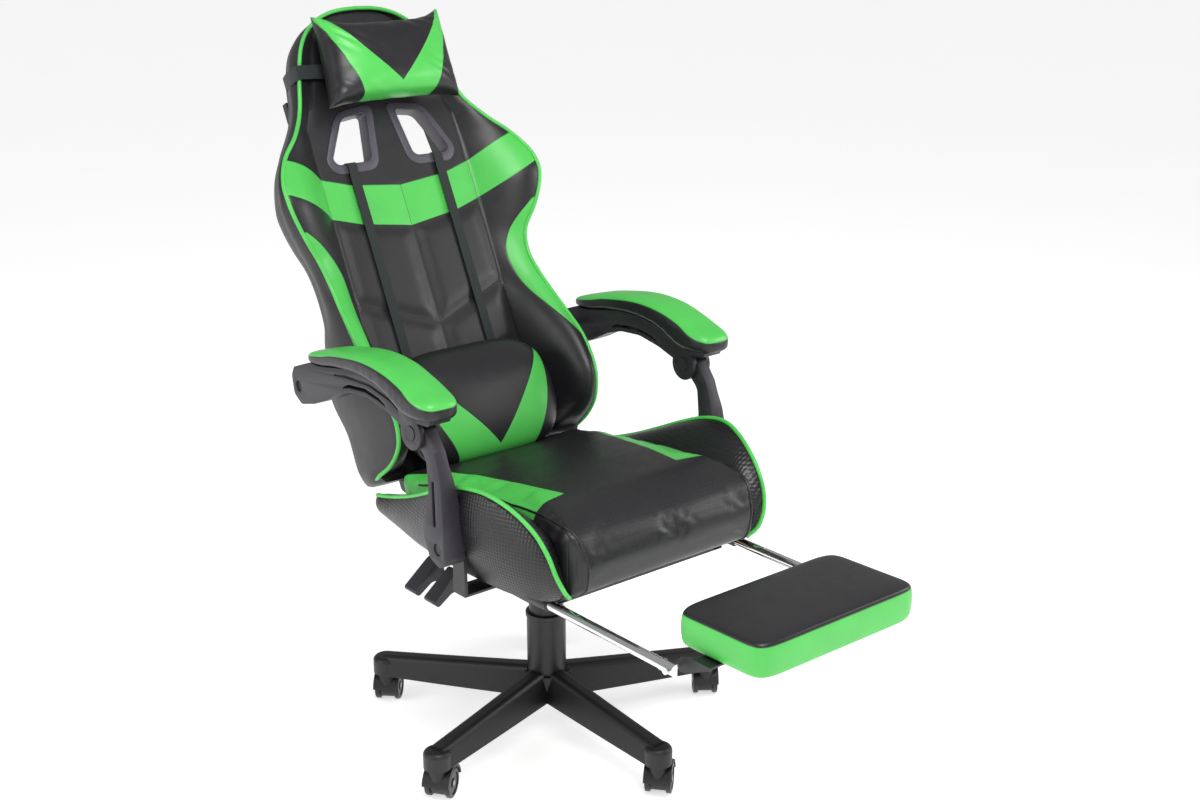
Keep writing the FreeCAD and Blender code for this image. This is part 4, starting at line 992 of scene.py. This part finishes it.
def make_footrest_cover():
    """The footrest's pad: a rounded slab with a black top and green sides."""
    columns = 96
    half_x, half_y, y0 = 0.166, 0.088, -0.591

    def point(column, row):
        share, z = FOOT_PAD[row]
        turn = math.tau * column / columns
        c, q = math.cos(turn), math.sin(turn)
        x = half_x * math.copysign(abs(c) ** 0.2, c)
        y = half_y * math.copysign(abs(q) ** 0.26, q)
        bow = 1 - 0.012 * (1 - abs(c * q) * 2)
        tilt = 0.01 * (-(y * share) / half_y) * 0.2
        return Vector((x * share * bow, y0 + y * share * bow, z + tilt))

    pad = surface("footrest_cover", columns, len(FOOT_PAD) - 1, point)
    modify(pad, "SUBSURF", levels=2, render_levels=2)

    def value(place):
        share = max(abs(place.x) / half_x, abs(place.y - y0) / half_y)
        edge = 0.45 - 0.022 * (place.y - y0)
        return min(max(edge - place.z, share - 0.985), place.z - 0.403)

    mark(pad, "panel", value)
    dress(pad, "footrest", FINISHES["two-tone leather"], ["footrest_pad"])


# ------------------------------------------------------------------ moulded and metal pieces
# Moulded frame pieces and the radius of their edges.
EASED = {"arm_beam_right": 0.0016, "arm_beam_left": 0.0016, "arm_post_right": 0.0016, "arm_post_left": 0.0016,
         "height_lever": 0.0012, "recline_lever": 0.0012}
# Frame pieces that keep their shape, by finish.
KEPT = {
    "base nylon": ["star_base"] + ["caster_hood_%d" % i for i in range(1, 6)],
    "wheel nylon": ["caster_wheels_%d" % i for i in range(1, 6)],
    "cover": ["column_cover_lower", "column_cover_upper"],
    "zinc": ["caster_stems", "mechanism_bolts", "recline_pins"] + ["caster_axle_%d" % i for i in range(1, 6)],
    "gas rod": ["gas_rod"],
    "black steel": ["arm_lower_bolts", "arm_rear_bolts", "gas_outer_tube", "gas_pressure_tube",
                    "mechanism_housing", "mechanism_plate", "seat_frame", "back_frame", "back_hinge_plates",
                    "arm_brackets", "footrest_guides", "footrest_bracket"],
    "arm nylon": ["arm_pivot_cap_right", "arm_pivot_cap_left"],
    "chrome": ["footrest_rods", "footrest_screws"],
    "plywood": ["seat_board"],
}


def make_moulded():
    """The arms and levers, with the rounded edges a mould leaves."""
    for node, width in EASED.items():
        dress(eased(node, width), node, FINISHES["arm nylon"], [node])


def finish_frame():
    """Puts the finishes on the frame pieces that stay."""
    for finish, names in KEPT.items():
        for name in names:
            node = NODES[name]
            for slot in node.material_slots:
                slot.material = FINISHES[finish]


# ------------------------------------------------------------------ stage
# Area lights: name, place, aim, size, watts.
LAMPS = (("overhead", (-0.6, -1.5, 2.9), (0, -0.1, 0.6), 1.5, 60),
         ("left strip", (-2.6, 0.4, 1.3), (0, 0.1, 0.8), 1.2, 22),
         ("right strip", (2.3, -1.5, 1.6), (0, 0, 0.7), 1.1, 24),
         ("front", (-1.2, -3.2, 1.2), (0, 0, 0.4), 1.6, 9))
SKY_STRENGTH = 0.38
CAMERA_PLACE = (-1.633, -2.098, 1.468)
CAMERA_TURN = Matrix(((0.7671, 0.1985, -0.6101), (-0.6416, 0.2372, -0.7295), (0.0, 0.951, 0.3093)))


def make_stage():
    """The floor, a white world, four area lights and the camera."""
    bpy.ops.object.select_all(action="DESELECT")
    bpy.ops.mesh.primitive_plane_add(size=60)
    floor = bpy.context.object
    floor.name = "floor"
    floor.data.materials.append(backdrop())
    world = bpy.context.scene.world or bpy.data.worlds.new("Studio")
    bpy.context.scene.world = world
    world.use_nodes = True
    sky = world.node_tree.nodes["Background"]
    sky.inputs[0].default_value = (1, 1, 1, 1)
    sky.inputs[1].default_value = SKY_STRENGTH
    bpy.context.scene.view_settings.view_transform = "Standard"
    for name, place, aim, size, power in LAMPS:
        light = bpy.data.lights.new(name, "AREA")
        light.size, light.energy = size, power
        lamp = bpy.data.objects.new(name, light)
        bpy.context.collection.objects.link(lamp)
        lamp.location = place
        lamp.rotation_euler = (Vector(aim) - Vector(place)).to_track_quat("-Z", "Y").to_euler()
    camera = bpy.data.cameras.new("camera")
    camera.lens, camera.sensor_width = 50.33, 36
    camera.clip_end = 100
    seen = bpy.data.objects.new("camera", camera)
    bpy.context.collection.objects.link(seen)
    seen.matrix_world = Matrix.Translation(CAMERA_PLACE) @ CAMERA_TURN.to_4x4()
    bpy.context.scene.camera = seen


def backdrop():
    """Matt white paper, lit a little from itself so that it reads as plain white."""
    material, tree, shader, place = start_material("Matt white backdrop", 0.9)
    shader.inputs["Specular IOR Level"].default_value = 0.1
    shader.inputs["Emission Color"].default_value = (1, 1, 1, 1)
    shader.inputs["Emission Strength"].default_value = 0.58
    paper = mix(tree, noise(tree, place, 0.5), linear("#EFEFF0"), linear("#F3F3F3"))
    tree.links.new(paper, shader.inputs["Base Color"])
    return material


# ------------------------------------------------------------------ settings and operators
class ChairLook(bpy.types.PropertyGroup):
    """Colours that a user would change."""
    black: FloatVectorProperty(name="Black leatherette", description="Main upholstery colour",
                               subtype="COLOR", size=3, min=0, max=1, default=linear("#1C1B1E")[:3])
    green: FloatVectorProperty(name="Green leatherette", description="Accent upholstery colour",
                               subtype="COLOR", size=3, min=0, max=1, default=linear("#4EBE51")[:3])
    side: FloatVectorProperty(name="Bezel", description="Colour of the moulded bezels", subtype="COLOR",
                              size=3, min=0, max=1, default=linear("#4A4650")[:3])


class ChairSizes(bpy.types.PropertyGroup):
    """Sizes that a user would change."""
    piping: FloatProperty(name="Piping", description="Radius of the green piping", default=0.0036, min=0.001,
                          max=0.008, unit="LENGTH")


def operator(name, label, words, *jobs):
    """An operator class that runs some jobs in order."""
    def execute(self, context):
        for job in jobs:
            job()
        return {"FINISHED"}
    return type("CHAIR_OT_" + name, (bpy.types.Operator,),
                {"bl_idname": "chair." + name, "bl_label": label, "__doc__": words, "execute": execute})


OPERATORS = [
    operator("finishes", "Prepare finishes", "Makes the chair's materials",
             lambda: prepare_finishes(bpy.context.scene.chair_look)),
    operator("back", "Upholster back", "Makes the padded back, its bezels, its piping and its straps",
             make_back_shell, make_bezels, make_back_piping, make_straps),
    operator("pillows", "Make pillows", "Makes the lumbar pillow and the head pillow",
             make_lumbar_pillow, make_head_pillow),
    operator("seat", "Upholster seat", "Makes the seat cover and its two wings", make_seat_cover, make_wings),
    operator("pads", "Make pads", "Makes the arm pads and the footrest pad",
             make_arm_pads, make_footrest_cover),
    operator("moulded", "Ease mouldings", "Rounds the edges of the moulded pieces",
             make_moulded, finish_frame),
    operator("stage", "Set stage", "Makes the floor, the lights and the camera", make_stage),
]


class CHAIR_PT_panel(bpy.types.Panel):
    """Lists the chair's colours and steps."""
    bl_label = "Gaming chair"
    bl_idname = "CHAIR_PT_panel"
    bl_space_type = "VIEW_3D"
    bl_region_type = "UI"
    bl_category = "Gaming chair"

    def draw(self, context):
        look, sizes = context.scene.chair_look, context.scene.chair_sizes
        for name in ("black", "green", "side"):
            self.layout.prop(look, name)
        self.layout.prop(sizes, "piping")
        for made in OPERATORS:
            self.layout.operator(made.bl_idname)


CLASSES = [ChairLook, ChairSizes, *OPERATORS, CHAIR_PT_panel]


def register():
    for made in CLASSES:
        bpy.utils.register_class(made)
    bpy.types.Scene.chair_look = PointerProperty(type=ChairLook)
    bpy.types.Scene.chair_sizes = PointerProperty(type=ChairSizes)


def unregister():
    del bpy.types.Scene.chair_sizes
    del bpy.types.Scene.chair_look
    for made in reversed(CLASSES):
        bpy.utils.unregister_class(made)


def main():
    register()
    for made in OPERATORS:
        group, name = made.bl_idname.split(".")
        getattr(getattr(bpy.ops, group), name)()


if __name__ == "__main__":
    main()
